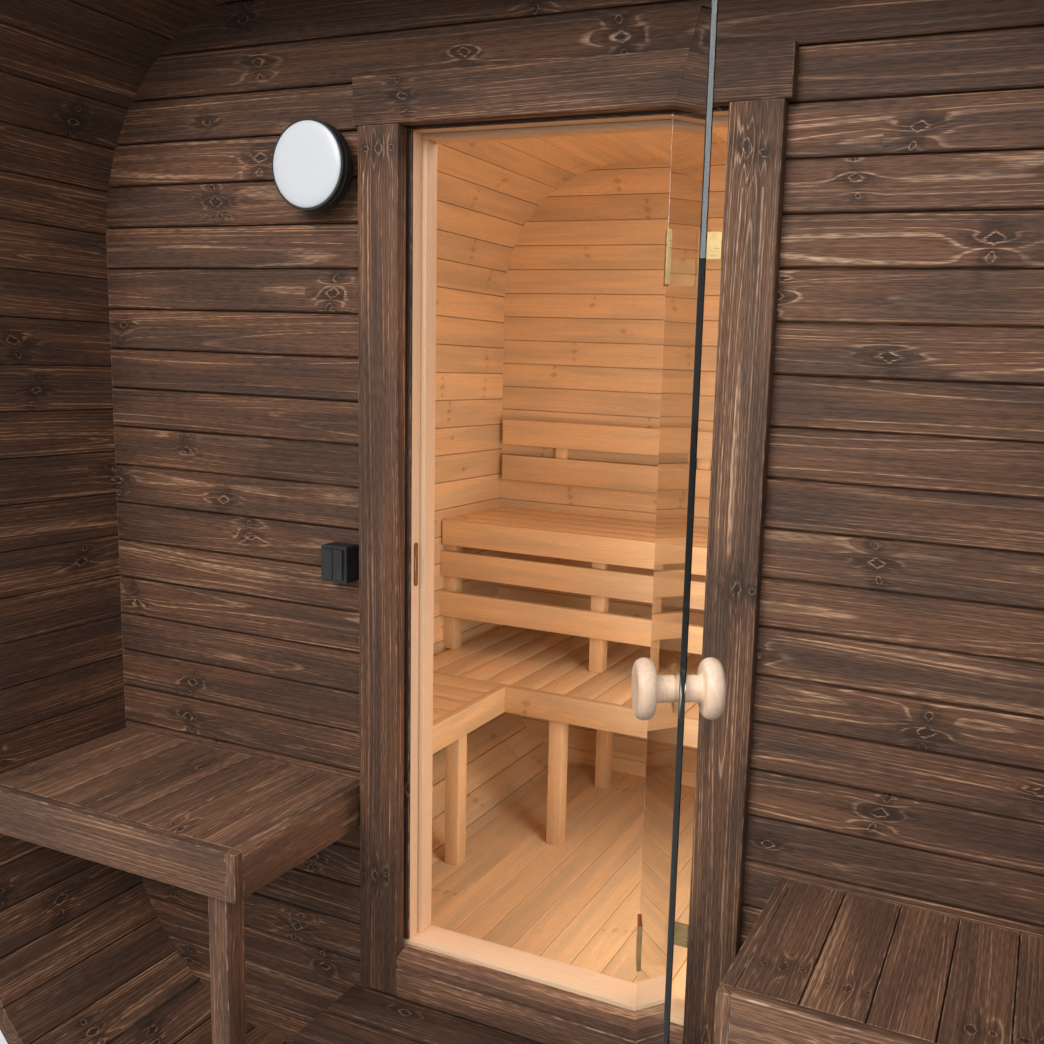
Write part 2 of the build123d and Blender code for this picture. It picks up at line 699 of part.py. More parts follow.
# door leaf, built open about its pivot: local x runs along the leaf, local y to its outer side
leaf_dir = (-cos(turn), -sin(turn), 0)
leaf_out = (sin(turn), -cos(turn), 0)
leaf_plane = Plane(origin=(pivot_x, pivot_y, 0), x_dir=leaf_dir, z_dir=(0, 0, 1))
with BuildPart() as door_glass:
    with BuildSketch(leaf_plane.offset(leaf_low_z)):
        with Locations(((leaf_x0 + leaf_x1) / 2, (leaf_y0 + leaf_y1) / 2)):
            Rectangle(leaf_w, leaf_t)
    extrude(amount=leaf_high_z - leaf_low_z)
door_glass.part.label = "door_glass"
export_step(door_glass.part, "parts/door_glass.step")

# hinge leaves on the glass: a plate each side of the pane and a cranked arm to the barrel
hinge_zs = (threshold_z + hinge_low, head_z - hinge_drop)
with BuildPart() as door_hinges:
    for z in hinge_zs:
        with BuildSketch(leaf_plane.offset(z - hinge_h / 2)):
            with Locations((leaf_x0 + clamp_w / 2, leaf_y1 + clamp_t / 2),
                           (leaf_x0 + clamp_w / 2, leaf_y0 - clamp_t / 2)):
                Rectangle(clamp_w, clamp_t)
            with Locations((0, leaf_y1 / 2)):
                Rectangle(hinge_plate_t, -leaf_y1)
            Circle(barrel_r)
        extrude(amount=hinge_h / 2)
        with BuildSketch(leaf_plane.offset(z)):
            with Locations((leaf_x0 + clamp_w / 2, leaf_y1 + clamp_t / 2),
                           (leaf_x0 + clamp_w / 2, leaf_y0 - clamp_t / 2)):
                Rectangle(clamp_w, clamp_t)
        extrude(amount=hinge_h / 2)
door_hinges.part.label = "door_hinges"
export_step(door_hinges.part, "parts/door_hinges.step")

# frame side of the hinges: a plate on the casing edge and the upper half of the barrel
barrel_gap = 0.5
with BuildPart() as frame_hinges:
    for z in hinge_zs:
        with BuildSketch(Plane(origin=(pivot_x, pivot_y, z + barrel_gap), x_dir=(1, 0, 0), z_dir=(0, 0, 1))):
            Circle(barrel_r)
            with Locations(((casing_in - pivot_x) / 2, 0)):
                Rectangle(casing_in - pivot_x, hinge_plate_t)
        extrude(amount=hinge_h / 2)
frame_hinges.part.label = "frame_hinges"
export_step(frame_hinges.part, "parts/frame_hinges.step")

# turned wooden knobs on both sides of the pane, each with a metal rose
knob_x = leaf_x1 - knob_edge
knob_z = threshold_z + knob_rise
knob_at = Vector(pivot_x, pivot_y, knob_z) + Vector(*leaf_dir) * knob_x
outer_at = knob_at + Vector(*leaf_out) * leaf_y1
inner_at = knob_at + Vector(*leaf_out) * leaf_y0
outer_axis = Plane(origin=outer_at, x_dir=leaf_dir, z_dir=leaf_out)
inner_axis = Plane(origin=inner_at, x_dir=leaf_dir, z_dir=(-leaf_out[0], -leaf_out[1], 0))
with BuildPart() as knob_outer:
    with BuildSketch(outer_axis.offset(rose_t)):
        Circle(knob_neck_d / 2)
    extrude(amount=knob_neck)
    with BuildSketch(outer_axis.offset(rose_t + knob_neck)):
        Circle(knob_d / 2)
    extrude(amount=knob_t)
    fillet(knob_outer.edges().filter_by(GeomType.CIRCLE).group_by(SortBy.RADIUS)[-1], knob_t * 0.45)
knob_outer.part.label = "knob_outer"
export_step(knob_outer.part, "parts/knob_outer.step")

with BuildPart() as knob_inner:
    with BuildSketch(inner_axis.offset(rose_t)):
        Circle(knob_neck_d / 2)
    extrude(amount=knob_neck)
    with BuildSketch(inner_axis.offset(rose_t + knob_neck)):
        Circle(knob_d / 2)
    extrude(amount=knob_t)
    fillet(knob_inner.edges().filter_by(GeomType.CIRCLE).group_by(SortBy.RADIUS)[-1], knob_t * 0.45)
knob_inner.part.label = "knob_inner"
export_step(knob_inner.part, "parts/knob_inner.step")

with BuildPart() as knob_roses:
    with BuildSketch(outer_axis):
        Circle(rose_d / 2)
    extrude(amount=rose_t)
    with BuildSketch(inner_axis):
        Circle(rose_d / 2)
    extrude(amount=rose_t)
knob_roses.part.label = "knob_roses"
export_step(knob_roses.part, "parts/knob_roses.step")
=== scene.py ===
"""Looks of the outdoor sauna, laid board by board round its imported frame."""
import logging
import math
from dataclasses import dataclass, replace
from enum import Enum
from typing import Optional, Sequence, Union

import bmesh
import bpy
from mathutils import Matrix, Vector


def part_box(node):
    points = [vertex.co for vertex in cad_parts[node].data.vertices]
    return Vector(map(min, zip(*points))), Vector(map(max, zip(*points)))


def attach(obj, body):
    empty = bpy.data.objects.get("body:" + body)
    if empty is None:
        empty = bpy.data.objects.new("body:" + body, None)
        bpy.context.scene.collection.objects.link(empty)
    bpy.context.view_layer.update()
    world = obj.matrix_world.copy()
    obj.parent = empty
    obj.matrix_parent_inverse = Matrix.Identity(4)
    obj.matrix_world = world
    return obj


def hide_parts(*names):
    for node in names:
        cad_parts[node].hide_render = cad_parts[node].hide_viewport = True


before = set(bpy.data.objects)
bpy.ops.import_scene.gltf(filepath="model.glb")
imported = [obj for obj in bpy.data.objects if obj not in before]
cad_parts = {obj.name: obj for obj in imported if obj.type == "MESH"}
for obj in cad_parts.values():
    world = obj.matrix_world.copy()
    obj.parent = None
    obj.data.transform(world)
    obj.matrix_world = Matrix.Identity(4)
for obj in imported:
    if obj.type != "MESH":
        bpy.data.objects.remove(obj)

LOG = logging.getLogger("outdoor_sauna")
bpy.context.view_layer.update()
CORNER_STAVES = 8
BOARD_STRIDE = 173.0

Socket = bpy.types.NodeSocket
Feed = Union[Socket, float, int, str, Sequence[float]]
Colour = tuple[float, float, float]


def tone(red: int, green: int, blue: int) -> Colour:
    """Turns a colour as a screen shows it, 0 to 255, into the linear one that shaders use."""
    return tuple(((c / 255 + 0.055) / 1.055) ** 2.4 if c > 10 else c / 255 / 12.92
                 for c in (red, green, blue))


class Grain(Enum):
    """The direction that a board's fibres run in."""

    X = 0
    Y = 1
    Z = 2


class Body(Enum):
    """The two rigid bodies of the frame."""

    BUILDING = "building"
    DOOR = "door"


class Slot(Enum):
    """The record's material slots."""

    STAINED = "stained_pine"
    ROOM = "room_spruce"
    LIGHT_FRAME = "frame_spruce"
    BEECH = "turned_beech"
    GLASS = "clear_glass"
    HINGE = "hinge_metal"
    ROSE = "rose_steel"
    STRIKE = "bronze_strike"
    BAND = "band_steel"
    LAMP_BLACK = "lamp_black"
    LAMP_OPAL = "lamp_opal"
    SWITCH = "switch_black"


# Benches for node trees


class NodeBench:
    """Places and links the nodes of one shader or geometry tree."""

    def __init__(self, tree: bpy.types.NodeTree) -> None:
        """Keeps the tree that nodes go into."""
        self.tree = tree

    def node(self, kind: str, **settings: object) -> bpy.types.Node:
        """Adds one node.

        Args:
            kind: the node's type name.
            settings: attributes to set on it.

        Returns:
            The new node.
        """
        made = self.tree.nodes.new(kind)
        for name, value in settings.items():
            setattr(made, name, value)
        return made

    def feed(self, node: bpy.types.Node, values: dict[Union[str, int], Feed]) -> None:
        """Links a node's inputs, or sets their own values.

        Args:
            node: the node.
            values: a socket or a value for each input, by name or number.
        """
        for key, value in values.items():
            socket = node.inputs[key]
            if isinstance(value, bpy.types.NodeSocket):
                self.tree.links.new(value, socket)
            else:
                socket.default_value = (*value, 1.0) if socket.type == "RGBA" and len(value) == 3 else value

    def make(self, kind: str, values: dict[Union[str, int], Feed], out: int = 0, **settings: object
             ) -> Socket:
        """Adds a node, feeds it and returns one of its outputs.

        Args:
            kind: the node's type name.
            values: a socket or a value for each input.
            out: the number of the output.
            settings: attributes to set on the node.

        Returns:
            The output.
        """
        made = self.node(kind, **settings)
        self.feed(made, values)
        return made.outputs[out]

    def math(self, operation: str, *values: Feed) -> Socket:
        """Adds a Math node and returns its result."""
        return self.make("ShaderNodeMath", dict(enumerate(values)), operation=operation)

    def plus(self, a: Feed, b: Feed) -> Socket:
        """Returns a + b."""
        return self.math("ADD", a, b)

    def minus(self, a: Feed, b: Feed) -> Socket:
        """Returns a - b."""
        return self.math("SUBTRACT", a, b)

    def times(self, a: Feed, b: Feed) -> Socket:
        """Returns a * b."""
        return self.math("MULTIPLY", a, b)

    def times_plus(self, a: Feed, b: Feed, c: Feed) -> Socket:
        """Returns a * b + c."""
        return self.math("MULTIPLY_ADD", a, b, c)

    def scaled(self, vector: Socket, factor: Feed) -> Socket:
        """Returns a vector or a colour times a number."""
        return self.make("ShaderNodeVectorMath", {0: vector, "Scale": factor}, operation="SCALE")

    def split(self, vector: Socket) -> tuple[Socket, Socket, Socket]:
        """Separates a vector into its three numbers."""
        made = self.node("ShaderNodeSeparateXYZ")
        self.feed(made, {0: vector})
        return tuple(made.outputs)

    def join(self, *parts: Feed) -> Socket:
        """Combines three numbers into a vector."""
        return self.make("ShaderNodeCombineXYZ", dict(enumerate(parts)))

    def noise(self, vector: Socket, scale: float, detail: float, roughness: float = 0.5) -> Socket:
        """Adds 3-D noise and returns its value, about 0.5 on average."""
        values = {"Vector": vector, "Scale": scale, "Detail": detail, "Roughness": roughness}
        return self.make("ShaderNodeTexNoise", values, noise_dimensions="3D")

    def stretched(self, parts: Sequence[Feed], scales: Sequence[float], detail: float,
                  roughness: float = 0.5) -> Socket:
        """Returns noise over three numbers, each scaled by itself; a scale of 1 needs no node."""
        scaled = (part if scale == 1 else self.times(part, scale) for part, scale in zip(parts, scales))
        return self.noise(self.join(*scaled), 1.0, detail, roughness)

    def dice(self, value: Socket) -> tuple[Socket, Socket, Socket]:
        """Turns one number into three random ones from 0 to 1."""
        return self.split(self.make("ShaderNodeTexWhiteNoise", {"W": value}, 1, noise_dimensions="1D"))

    def remap(self, value: Feed, *ends: Feed) -> Socket:
        """Maps a value from one range onto another with soft ends, and keeps it inside.

        Args:
            value: the value to map.
            ends: where the range starts and ends, then the results there if they aren't 0 and 1.

        Returns:
            The mapped value.
        """
        feeds = dict(enumerate((value, *ends, 0.0, 1.0)[:5]))
        return self.make("ShaderNodeMapRange", feeds, interpolation_type="SMOOTHSTEP")

    def mix(self, factor: Feed, a: Feed, b: Feed) -> Socket:
        """Mixes two colours by a factor."""
        return self.make("ShaderNodeMix", {0: factor, 6: a, 7: b}, 2, data_type="RGBA")

    def blend(self, factor: Feed, a: Feed, b: Feed) -> Socket:
        """Mixes two numbers by a factor."""
        return self.make("ShaderNodeMix", {0: factor, 2: a, 3: b}, data_type="FLOAT")

    def bump(self, height: Socket, strength: float, distance: float) -> Socket:
        """Returns the normal that a height gives."""
        return self.make("ShaderNodeBump", {"Strength": strength, "Distance": distance, "Height": height})

    def group(self, tree: bpy.types.NodeTree, **values: Feed) -> bpy.types.NodeOutputs:
        """Places a shader group.

        Args:
            tree: the group's tree.
            values: a socket or a value for each input, by its name with _ for each space.

        Returns:
            The group's outputs.
        """
        made = self.node("ShaderNodeGroup", node_tree=tree)
        self.feed(made, {name.replace("_", " ").capitalize(): value for name, value in values.items()})
        return made.outputs


class GroupBench(NodeBench):
    """The bench of one shader group or geometry tree with named inputs and outputs."""

    def __init__(self, name: str, takes: dict[str, str], gives: dict[str, str], kind: str = "ShaderNodeTree"
                 ) -> None:
        """Makes the tree.

        Args:
            name: its name.
            takes: the names of its inputs of each kind, with commas between.
            gives: the names of its outputs of each kind.
            kind: the tree's type name.
        """
        super().__init__(bpy.data.node_groups.new(name, kind))
        for side, sockets in (("INPUT", takes), ("OUTPUT", gives)):
            for sort, names in sockets.items():
                for label in names.split(", "):
                    self.tree.interface.new_socket(label, in_out=side, socket_type="NodeSocket" + sort)
        self.taken = self.node("NodeGroupInput").outputs
        self.out = self.node("NodeGroupOutput")

    def give(self, **values: Socket) -> bpy.types.NodeTree:
        """Feeds the outputs and returns the finished tree."""
        self.feed(self.out, {name.capitalize(): value for name, value in values.items()})
        return self.tree


class MaterialBench(NodeBench):
    """The bench of one material, with its Principled shader and its output."""

    def __init__(self, name: str) -> None:
        """Makes the material under its name."""
        self.material = bpy.data.materials.new(name)
        self.material.use_nodes = True
        super().__init__(self.material.node_tree)
        self.tree.nodes.clear()
        self.shader = self.node("ShaderNodeBsdfPrincipled")
        self.out = self.node("ShaderNodeOutputMaterial")
        self.feed(self.out, {"Surface": self.shader.outputs[0]})

    def dress(self, values: dict[str, Feed]) -> None:
        """Feeds the Principled shader."""
        self.feed(self.shader, values)

    def swap(self, ray: str, kind: str, colour: Feed) -> None:
        """Shows one kind of ray a plainer shader in place of the full one.

        Args:
            ray: the Light Path output for that ray.
            kind: the plainer shader's type name.
            colour: its colour.
        """
        plain = self.make(kind, {"Color": colour})
        chosen = self.node("ShaderNodeLightPath").outputs[ray]
        mixed = self.make("ShaderNodeMixShader", {0: chosen, 1: self.shader.outputs[0], 2: plain})
        self.feed(self.out, {"Surface": mixed})


# Shader groups


def board_figure_group() -> bpy.types.NodeTree:
    """Growth rings, fibres and knots of a sawn board.

    The coordinate runs along, across and through the board, in metres, and the pith lies near it, so flat
    faces show long arches, edges show straight lines and ends show rings. Knots stand in whorls: one in the
    middle of the face and often one towards each edge.

    Returns:
        The group's tree.
    """
    b = GroupBench("board_figure", {"Vector": "Coordinate", "Float": "Board, Ring, Line, Knots, Wander"},
                   {"Float": "Late, Fibre, Knot, Rim, Halo, Tint, Streak"})
    board = b.taken["Board"]
    x, y, z = b.split(b.taken["Coordinate"])
    pith_side, pith_depth, tint = b.dice(b.times(board, 917.0))
    along = b.times_plus(board, BOARD_STRIDE, x)
    place = (along, y, z)

    # the pith wanders slowly beside and below the board
    sway, dip = (b.times(b.math("SINE", b.times(along, pace)), b.taken["Wander"]) for pace in (3.1, 3.9))
    across = b.minus(y, b.times_plus(b.minus(pith_side, 0.5), 0.060, sway))
    through = b.plus(z, b.plus(b.times_plus(pith_depth, 0.020, 0.007), dip))
    radius = b.math("SQRT", b.times_plus(across, across, b.times(through, through)))
    wobble = b.stretched(place, (4.0, 36.0, 36.0), 1.0)

    # fibres: long soft streaks and short fine ones
    long = b.stretched(place, (3.4, 290.0, 290.0), 2.0, 0.70)
    short = b.stretched(place, (40.0, 640.0, 640.0), 0.0)
    fibre = b.remap(b.times_plus(long, 0.6, b.times(short, 0.4)), 0.40, 0.60)
    streak = b.remap(b.stretched(place, (2.6, 20.0, 20.0), 1.0), 0.34, 0.66)

    # one whorl of knots to a cell, its outer knots folded onto each other
    cells = b.node("ShaderNodeTexVoronoi", voronoi_dimensions="1D", feature="F1")
    b.feed(cells, {"W": along, "Scale": 2.2, "Randomness": 0.9})
    cell = cells.outputs["W"]
    chance, shift, size = b.split(cells.outputs["Color"])
    more, less, lean = b.dice(b.times(cell, 31.7))
    there = b.math("LESS_THAN", chance, b.taken["Knots"])
    from_centre = b.times_plus(b.minus(shift, 0.5), -0.024, y)
    absent = b.math("LESS_THAN", b.blend(b.math("GREATER_THAN", from_centre, 0.0), less, more), 0.28)
    middle = b.math("ABSOLUTE", from_centre)
    outer = b.math("ABSOLUTE", b.minus(middle, b.times_plus(absent, 0.5, 0.029)))
    is_outer = b.math("LESS_THAN", outer, middle)
    beside = b.math("MINIMUM", outer, middle)
    ahead = b.times_plus(b.minus(lean, 0.5), b.times(from_centre, 0.8), b.minus(along, cell))

    # a knot is round in the middle of a board and drawn out towards its edges
    reach = b.times_plus(size, 0.004, b.times_plus(is_outer, -0.0018, 0.0070))
    flat = b.math("DIVIDE", ahead, b.times_plus(is_outer, -0.75, 1.6))
    round_off = b.math("SQRT", b.times_plus(beside, beside, b.times(flat, flat)))
    diamond = b.times(b.plus(beside, b.math("ABSOLUTE", flat)), 0.86)
    near = b.blend(b.times_plus(is_outer, -0.5, 0.75), round_off, diamond)
    lump = b.stretched((along, y, board), (75.0, 75.0, 57.0), 1.0)
    ragged = b.times_plus(short, 0.40, b.times_plus(lump, 1.15, 0.22))
    near = b.times(b.math("DIVIDE", near, reach), ragged)
    knot = b.times(there, b.remap(near, 1.0, 0.7))
    rim = b.times(there, b.times(b.remap(near, 0.70, 0.90), b.remap(near, 1.16, 0.97)))
    rim = b.times(rim, b.remap(b.plus(short, lump), 0.80, 1.12, 0.15, 1.0))
    halo = b.times(there, b.remap(near, 4.6, 0.9))

    # the rings swell round a knot
    parts = (b.math("POWER", b.math("DIVIDE", off, b.times(reach, spread)), 2.0)
             for off, spread in ((ahead, 5.0), (beside, 1.7)))
    bulge = b.math("EXPONENT", b.times(b.plus(*parts), -1.0))
    swell = b.times(b.times(bulge, there), b.times(reach, 1.3))
    path = b.plus(b.times_plus(wobble, 0.0032, radius), swell)
    uneven = b.stretched((radius, board, 0.0), (120.0, 31.0, 1), 0.0)
    turn = b.math("FRACT", b.times_plus(uneven, 2.6, b.math("DIVIDE", path, b.taken["Ring"])))
    late = b.times(b.remap(turn, b.taken["Line"], 0.88), b.remap(turn, 1.0, 0.92))
    late = b.times(late, b.times_plus(streak, 0.75, 0.25))
    return b.give(late=late, fibre=fibre, knot=knot, rim=rim, halo=halo, tint=tint, streak=streak)


def fibre_relief_group() -> bpy.types.NodeTree:
    """The brushed relief of a board's fibres, apart from its figure, so that a bump is quick to work out."""
    b = GroupBench("fibre_relief", {"Vector": "Coordinate", "Float": "Board"}, {"Float": "Height"})
    x, y, z = b.split(b.taken["Coordinate"])
    along = b.times_plus(b.taken["Board"], BOARD_STRIDE, b.times(x, 4.0))
    return b.give(height=b.stretched((along, y, z), (1, 260.0, 260.0), 1.0))


def arris_group() -> bpy.types.NodeTree:
    """A mask along a board's arrises, broken up by noise, from its coordinate and its half sizes."""
    b = GroupBench("arris_wear", {"Vector": "Coordinate, Half", "Float": "Reach"}, {"Float": "Mask"})
    sides = [b.minus(half, b.math("ABSOLUTE", part))
             for part, half in zip(b.split(b.taken["Coordinate"]), b.split(b.taken["Half"]))]
    low, high = b.math("MINIMUM", *sides[:2]), b.math("MAXIMUM", *sides[:2])
    middle = b.math("MAXIMUM", low, b.math("MINIMUM", high, sides[2]))
    broken = b.remap(b.noise(b.taken["Coordinate"], 38.0, 1.0), 0.35, 0.7, 0.15, 1.6)
    return b.give(mask=b.remap(b.math("DIVIDE", middle, b.times(b.taken["Reach"], broken)), 1.0, 0.15))


def timber_colour_group() -> bpy.types.NodeTree:
    """Colours a board's figure: early and late wood, knots, worn arrises and the board's own tint."""
    floats = ("Late, Fibre, Knot, Rim, Halo, Tint, Streak, Wear, Late share, Fibre share, Tint share, "
              "Halo share, Knot share, Rough low, Rough high")
    colours = "Early colour, Late colour, Knot colour, Rim colour, Worn colour, Warm colour"
    b = GroupBench("timber_colour", {"Float": floats, "Color": colours},
                   {"Color": "Colour", "Float": "Roughness"})
    t = b.taken
    late = b.times(b.times(t["Late"], b.times_plus(t["Fibre"], 0.6, 0.4)), t["Late share"])
    colour = b.mix(b.times(t["Streak"], 0.55), t["Early colour"], t["Warm colour"])
    worn = b.times(t["Wear"], b.times_plus(t["Fibre"], 0.5, 0.5))
    for share, over in ((late, "Late colour"), (b.times(t["Knot"], t["Knot share"]), "Knot colour"),
                        (b.times(t["Rim"], t["Knot share"]), "Rim colour"), (worn, "Worn colour")):
        colour = b.mix(share, colour, t[over])
    shade = b.times_plus(b.minus(t["Fibre"], 0.5), t["Fibre share"], 1.0)
    board = b.plus(b.minus(t["Tint"], 0.5), b.minus(t["Streak"], 0.5))
    shade = b.times(shade, b.times_plus(board, t["Tint share"], 1.0))
    dark = b.times(t["Halo"], b.minus(1.0, b.math("MAXIMUM", t["Rim"], t["Late"])))
    shade = b.times(shade, b.minus(1.0, b.times(dark, t["Halo share"])))
    rough = b.blend(t["Late"], t["Rough high"], t["Rough low"])
    return b.give(colour=b.scaled(colour, shade), roughness=rough)


def handling_group() -> bpy.types.NodeTree:
    """Soft smudges, dust and specks that vary a smooth surface, in Object coordinates."""
    b = GroupBench("handling", {"Vector": "Coordinate", "Float": "Scale"}, {"Float": "Smudge, Dust, Speck"})
    place = b.scaled(b.taken["Coordinate"], b.taken["Scale"])
    return b.give(smudge=b.remap(b.noise(place, 9.0, 3.0), 0.35, 0.7),
                  dust=b.remap(b.noise(place, 31.0, 4.0, 0.6), 0.45, 0.75),
                  speck=b.noise(place, 420.0, 2.0, 0.6))


FIGURE = board_figure_group()
RELIEF = fibre_relief_group()
ARRIS = arris_group()
TIMBER_COLOUR = timber_colour_group()
HANDLING = handling_group()


# Finishes


@dataclass(frozen=True)
class Finish:
    """One finish, named as its slot."""

    name: str

    def start(self, scale: float) -> tuple[MaterialBench, Socket, bpy.types.NodeOutputs]:
        """Makes the material with marks of handling on it.

        Args:
            scale: how fine the marks are.

        Returns:
            The material's bench, its Object coordinates and the marks.
        """
        b = MaterialBench(self.name)
        place = b.node("ShaderNodeTexCoord").outputs["Object"]
        return b, place, b.group(HANDLING, coordinate=place, scale=scale)


@dataclass(frozen=True)
class Timber(Finish):
    """A wood finish: colours of its figure and how strongly each part of it shows."""

    early: Colour
    warm: Colour
    late: Colour
    knot: Colour
    rim: Colour
    worn: Colour
    ring: float = 0.0050
    line: float = 0.5
    knots: float = 0.6
    wander: float = 0.016
    late_share: float = 0.8
    fibre_share: float = 0.5
    tint_share: float = 0.25
    halo_share: float = 0.35
    knot_share: float = 0.8
    wear_reach: float = 0.004
    wear_share: float = 0.5
    rough_low: float = 0.5
    rough_high: float = 0.7
    relief: float = 0.0007
    specular: float = 0.4

    def colours(self, b: NodeBench, figure: bpy.types.NodeOutputs, wear: Socket) -> bpy.types.NodeOutputs:
        """Places the colour group for this finish.

        Args:
            b: the material's bench.
            figure: the outputs of the placed board figure.
            wear: the mask along the arrises.

        Returns:
            The colour group's outputs.
        """
        masks = {name.lower(): socket for name, socket in figure.items()}
        colours = {name + "_colour": getattr(self, name)
                   for name in ("early", "warm", "late", "knot", "rim", "worn")}
        shares = {name: getattr(self, name)
                  for name in ("late_share", "fibre_share", "tint_share", "halo_share", "knot_share",
                               "rough_low", "rough_high")}
        return b.group(TIMBER_COLOUR, wear=b.times(wear, self.wear_share), **masks, **colours, **shares)

    def mean(self) -> Colour:
        """Returns the finish's mean colour over a board's face."""
        late = self.late_share * (1.0 - self.line) * 0.25
        ground = [a * 0.72 + w * 0.28 for a, w in zip(self.early, self.warm)]
        return tuple(g * (1.0 - late) + l * late for g, l in zip(ground, self.late))

    def material(self, lining: Optional["Timber"] = None, room: tuple[float, float] = (0.0, 0.0)
                 ) -> bpy.types.Material:
        """Builds the material for pieces whose meshes carry the board attributes.

        Light that bounces meets only the mean colour, which is far quicker to work out.

        Args:
            lining: the bare finish on the inner faces, where the boards also line the room.
            room: where the room starts and ends along Y.

        Returns:
            The material.
        """
        b = MaterialBench(self.name)
        grain, half = (b.node("ShaderNodeAttribute", attribute_name=name).outputs["Vector"]
                       for name in ("grain", "half"))
        board = b.node("ShaderNodeAttribute", attribute_name="board").outputs["Fac"]
        figure = b.group(FIGURE, coordinate=grain, board=board, ring=self.ring, line=self.line,
                         knots=self.knots, wander=self.wander)
        wear = b.group(ARRIS, coordinate=grain, half=half, reach=self.wear_reach)["Mask"]
        painted = self.colours(b, figure, wear)
        colour, rough, plain = painted["Colour"], painted["Roughness"], self.mean()
        if lining is not None:
            y = b.split(b.node("ShaderNodeTexCoord").outputs["Object"])[1]
            inside = b.times(b.math("GREATER_THAN", y, room[0]), b.math("LESS_THAN", y, room[1]))
            inside = b.times(inside, b.math("LESS_THAN", b.split(grain)[2], -0.008))
            bare = lining.colours(b, figure, wear)
            colour = b.mix(inside, colour, bare["Colour"])
            rough = b.blend(inside, rough, bare["Roughness"])
            plain = b.mix(inside, plain, lining.mean())
        relief = b.group(RELIEF, coordinate=grain, board=board)["Height"]
        b.dress({"Base Color": colour, "Roughness": rough, "Specular IOR Level": self.specular,
                 "Normal": b.bump(relief, 0.8, self.relief)})
        b.swap("Is Diffuse Ray", "ShaderNodeBsdfDiffuse", plain)
        return b.material


@dataclass(frozen=True)
class TurnedWood(Finish):
    """Pale turned beech with short rays, dressed in Object coordinates."""

    base: Colour = tone(240, 208, 182)
    line: Colour = tone(226, 186, 154)
    handled: Colour = tone(176, 132, 92)

    def material(self) -> bpy.types.Material:
        """Builds the material."""
        b, place, hands = self.start(2.0)
        parts = b.split(place)
        lines = b.remap(b.stretched(parts, (260.0, 260.0, 24.0), 3.0), 0.38, 0.66)
        flecks = b.remap(b.stretched(parts, (900.0, 900.0, 210.0), 1.0), 0.55, 0.72)
        figure = b.times_plus(lines, 0.6, b.times(flecks, 0.4))
        colour = b.mix(b.times(hands["Smudge"], 0.12), b.mix(figure, self.base, self.line), self.handled)
        b.dress({"Base Color": colour, "Roughness": b.remap(hands["Smudge"], 0.0, 1.0, 0.46, 0.34),
                 "Normal": b.bump(figure, 0.35, 0.0003)})
        return b.material


@dataclass(frozen=True)
class Metal(Finish):
    """A satin metal with fine brushing and handled patches."""

    base: Colour
    dull: Colour
    rough: float = 0.3
    brush: tuple[float, float, float] = (60.0, 60.0, 900.0)

    def material(self) -> bpy.types.Material:
        """Builds the material."""
        b, place, hands = self.start(3.0)
        brushed = b.stretched(b.split(place), self.brush, 2.0)
        rough = b.times_plus(hands["Smudge"], 0.12, b.times_plus(brushed, 0.16, self.rough - 0.08))
        b.dress({"Base Color": b.mix(b.times(hands["Smudge"], 0.5), self.base, self.dull), "Roughness": rough,
                 "Metallic": 1.0, "Normal": b.bump(brushed, 0.25, 0.0002)})
        return b.material


@dataclass(frozen=True)
class Moulding(Finish):
    """A moulded plastic with fine texture and dust in its tone."""

    base: Colour
    dusty: Colour
    rough: float
    dust: float = 0.25
    grain: float = 0.0002

    def material(self) -> bpy.types.Material:
        """Builds the material."""
        b, _, hands = self.start(2.5)
        veil = b.times(b.times_plus(hands["Dust"], 0.6, b.times(hands["Smudge"], 0.4)), self.dust)
        b.dress({"Base Color": b.mix(veil, self.base, self.dusty),
                 "Roughness": b.times_plus(hands["Smudge"], 0.12, self.rough),
                 "Normal": b.bump(hands["Speck"], 0.3, self.grain)})
        return b.material


@dataclass(frozen=True)
class ClearGlass(Finish):
    """Toughened glass, faintly green, with a few dry smears; the lamps' direct light passes through it."""

    tint: Colour = tone(250, 253, 252)
    smeared: Colour = tone(228, 236, 232)
    depth: Colour = tone(84, 134, 140)
    density: float = 9.0
    passing: Colour = (0.93, 0.95, 0.94)

    def material(self) -> bpy.types.Material:
        """Builds the material."""
        b, _, hands = self.start(0.6)
        b.dress({"Transmission Weight": 1.0, "IOR": 1.5,
                 "Base Color": b.mix(b.times(hands["Smudge"], 0.1), self.tint, self.smeared),
                 "Roughness": b.remap(hands["Dust"], 0.5, 1.0, 0.0, 0.02)})
        b.feed(b.out, {"Volume": b.make("ShaderNodeVolumeAbsorption", {"Color": self.depth,
                                                                       "Density": self.density})})
        b.swap("Is Shadow Ray", "ShaderNodeBsdfTransparent", self.passing)
        return b.material


STAINED = Timber("stained_pine", early=tone(80, 57, 45), warm=tone(108, 71, 48), late=tone(180, 140, 110),
                 knot=tone(66, 45, 37), rim=tone(168, 130, 104), worn=tone(170, 136, 110), ring=0.0082,
                 line=0.70, knots=0.62, wander=0.007, late_share=0.76, fibre_share=0.62, tint_share=0.17,
                 halo_share=0.52, knot_share=0.72, wear_reach=0.0022, wear_share=0.5, rough_low=0.46,
                 rough_high=0.72, relief=0.0010, specular=0.32)
# A lighter copy of the stained pine, with paler and wider worn arrises. Its lighter early and warm tones are
# painted light, for the benches, sill, legs and cradles.
STAINED_LIT_WORN = replace(STAINED, name="stained_pine_handled", worn=tone(188, 158, 134), wear_reach=0.0020,
                  wear_share=0.75, early=tone(99, 71, 56), warm=tone(122, 85, 62), knots=0.4, halo_share=0.3)
# A darker copy of the lighter coat. Its darker tones are painted shade, on the deck and along the frame's
# outer edge.
STAINED_SHADED = replace(STAINED_LIT_WORN, name="stained_pine_trodden", early=tone(66, 47, 37), warm=tone(84, 58, 43),
                  late=tone(150, 116, 90), wear_share=0.3)
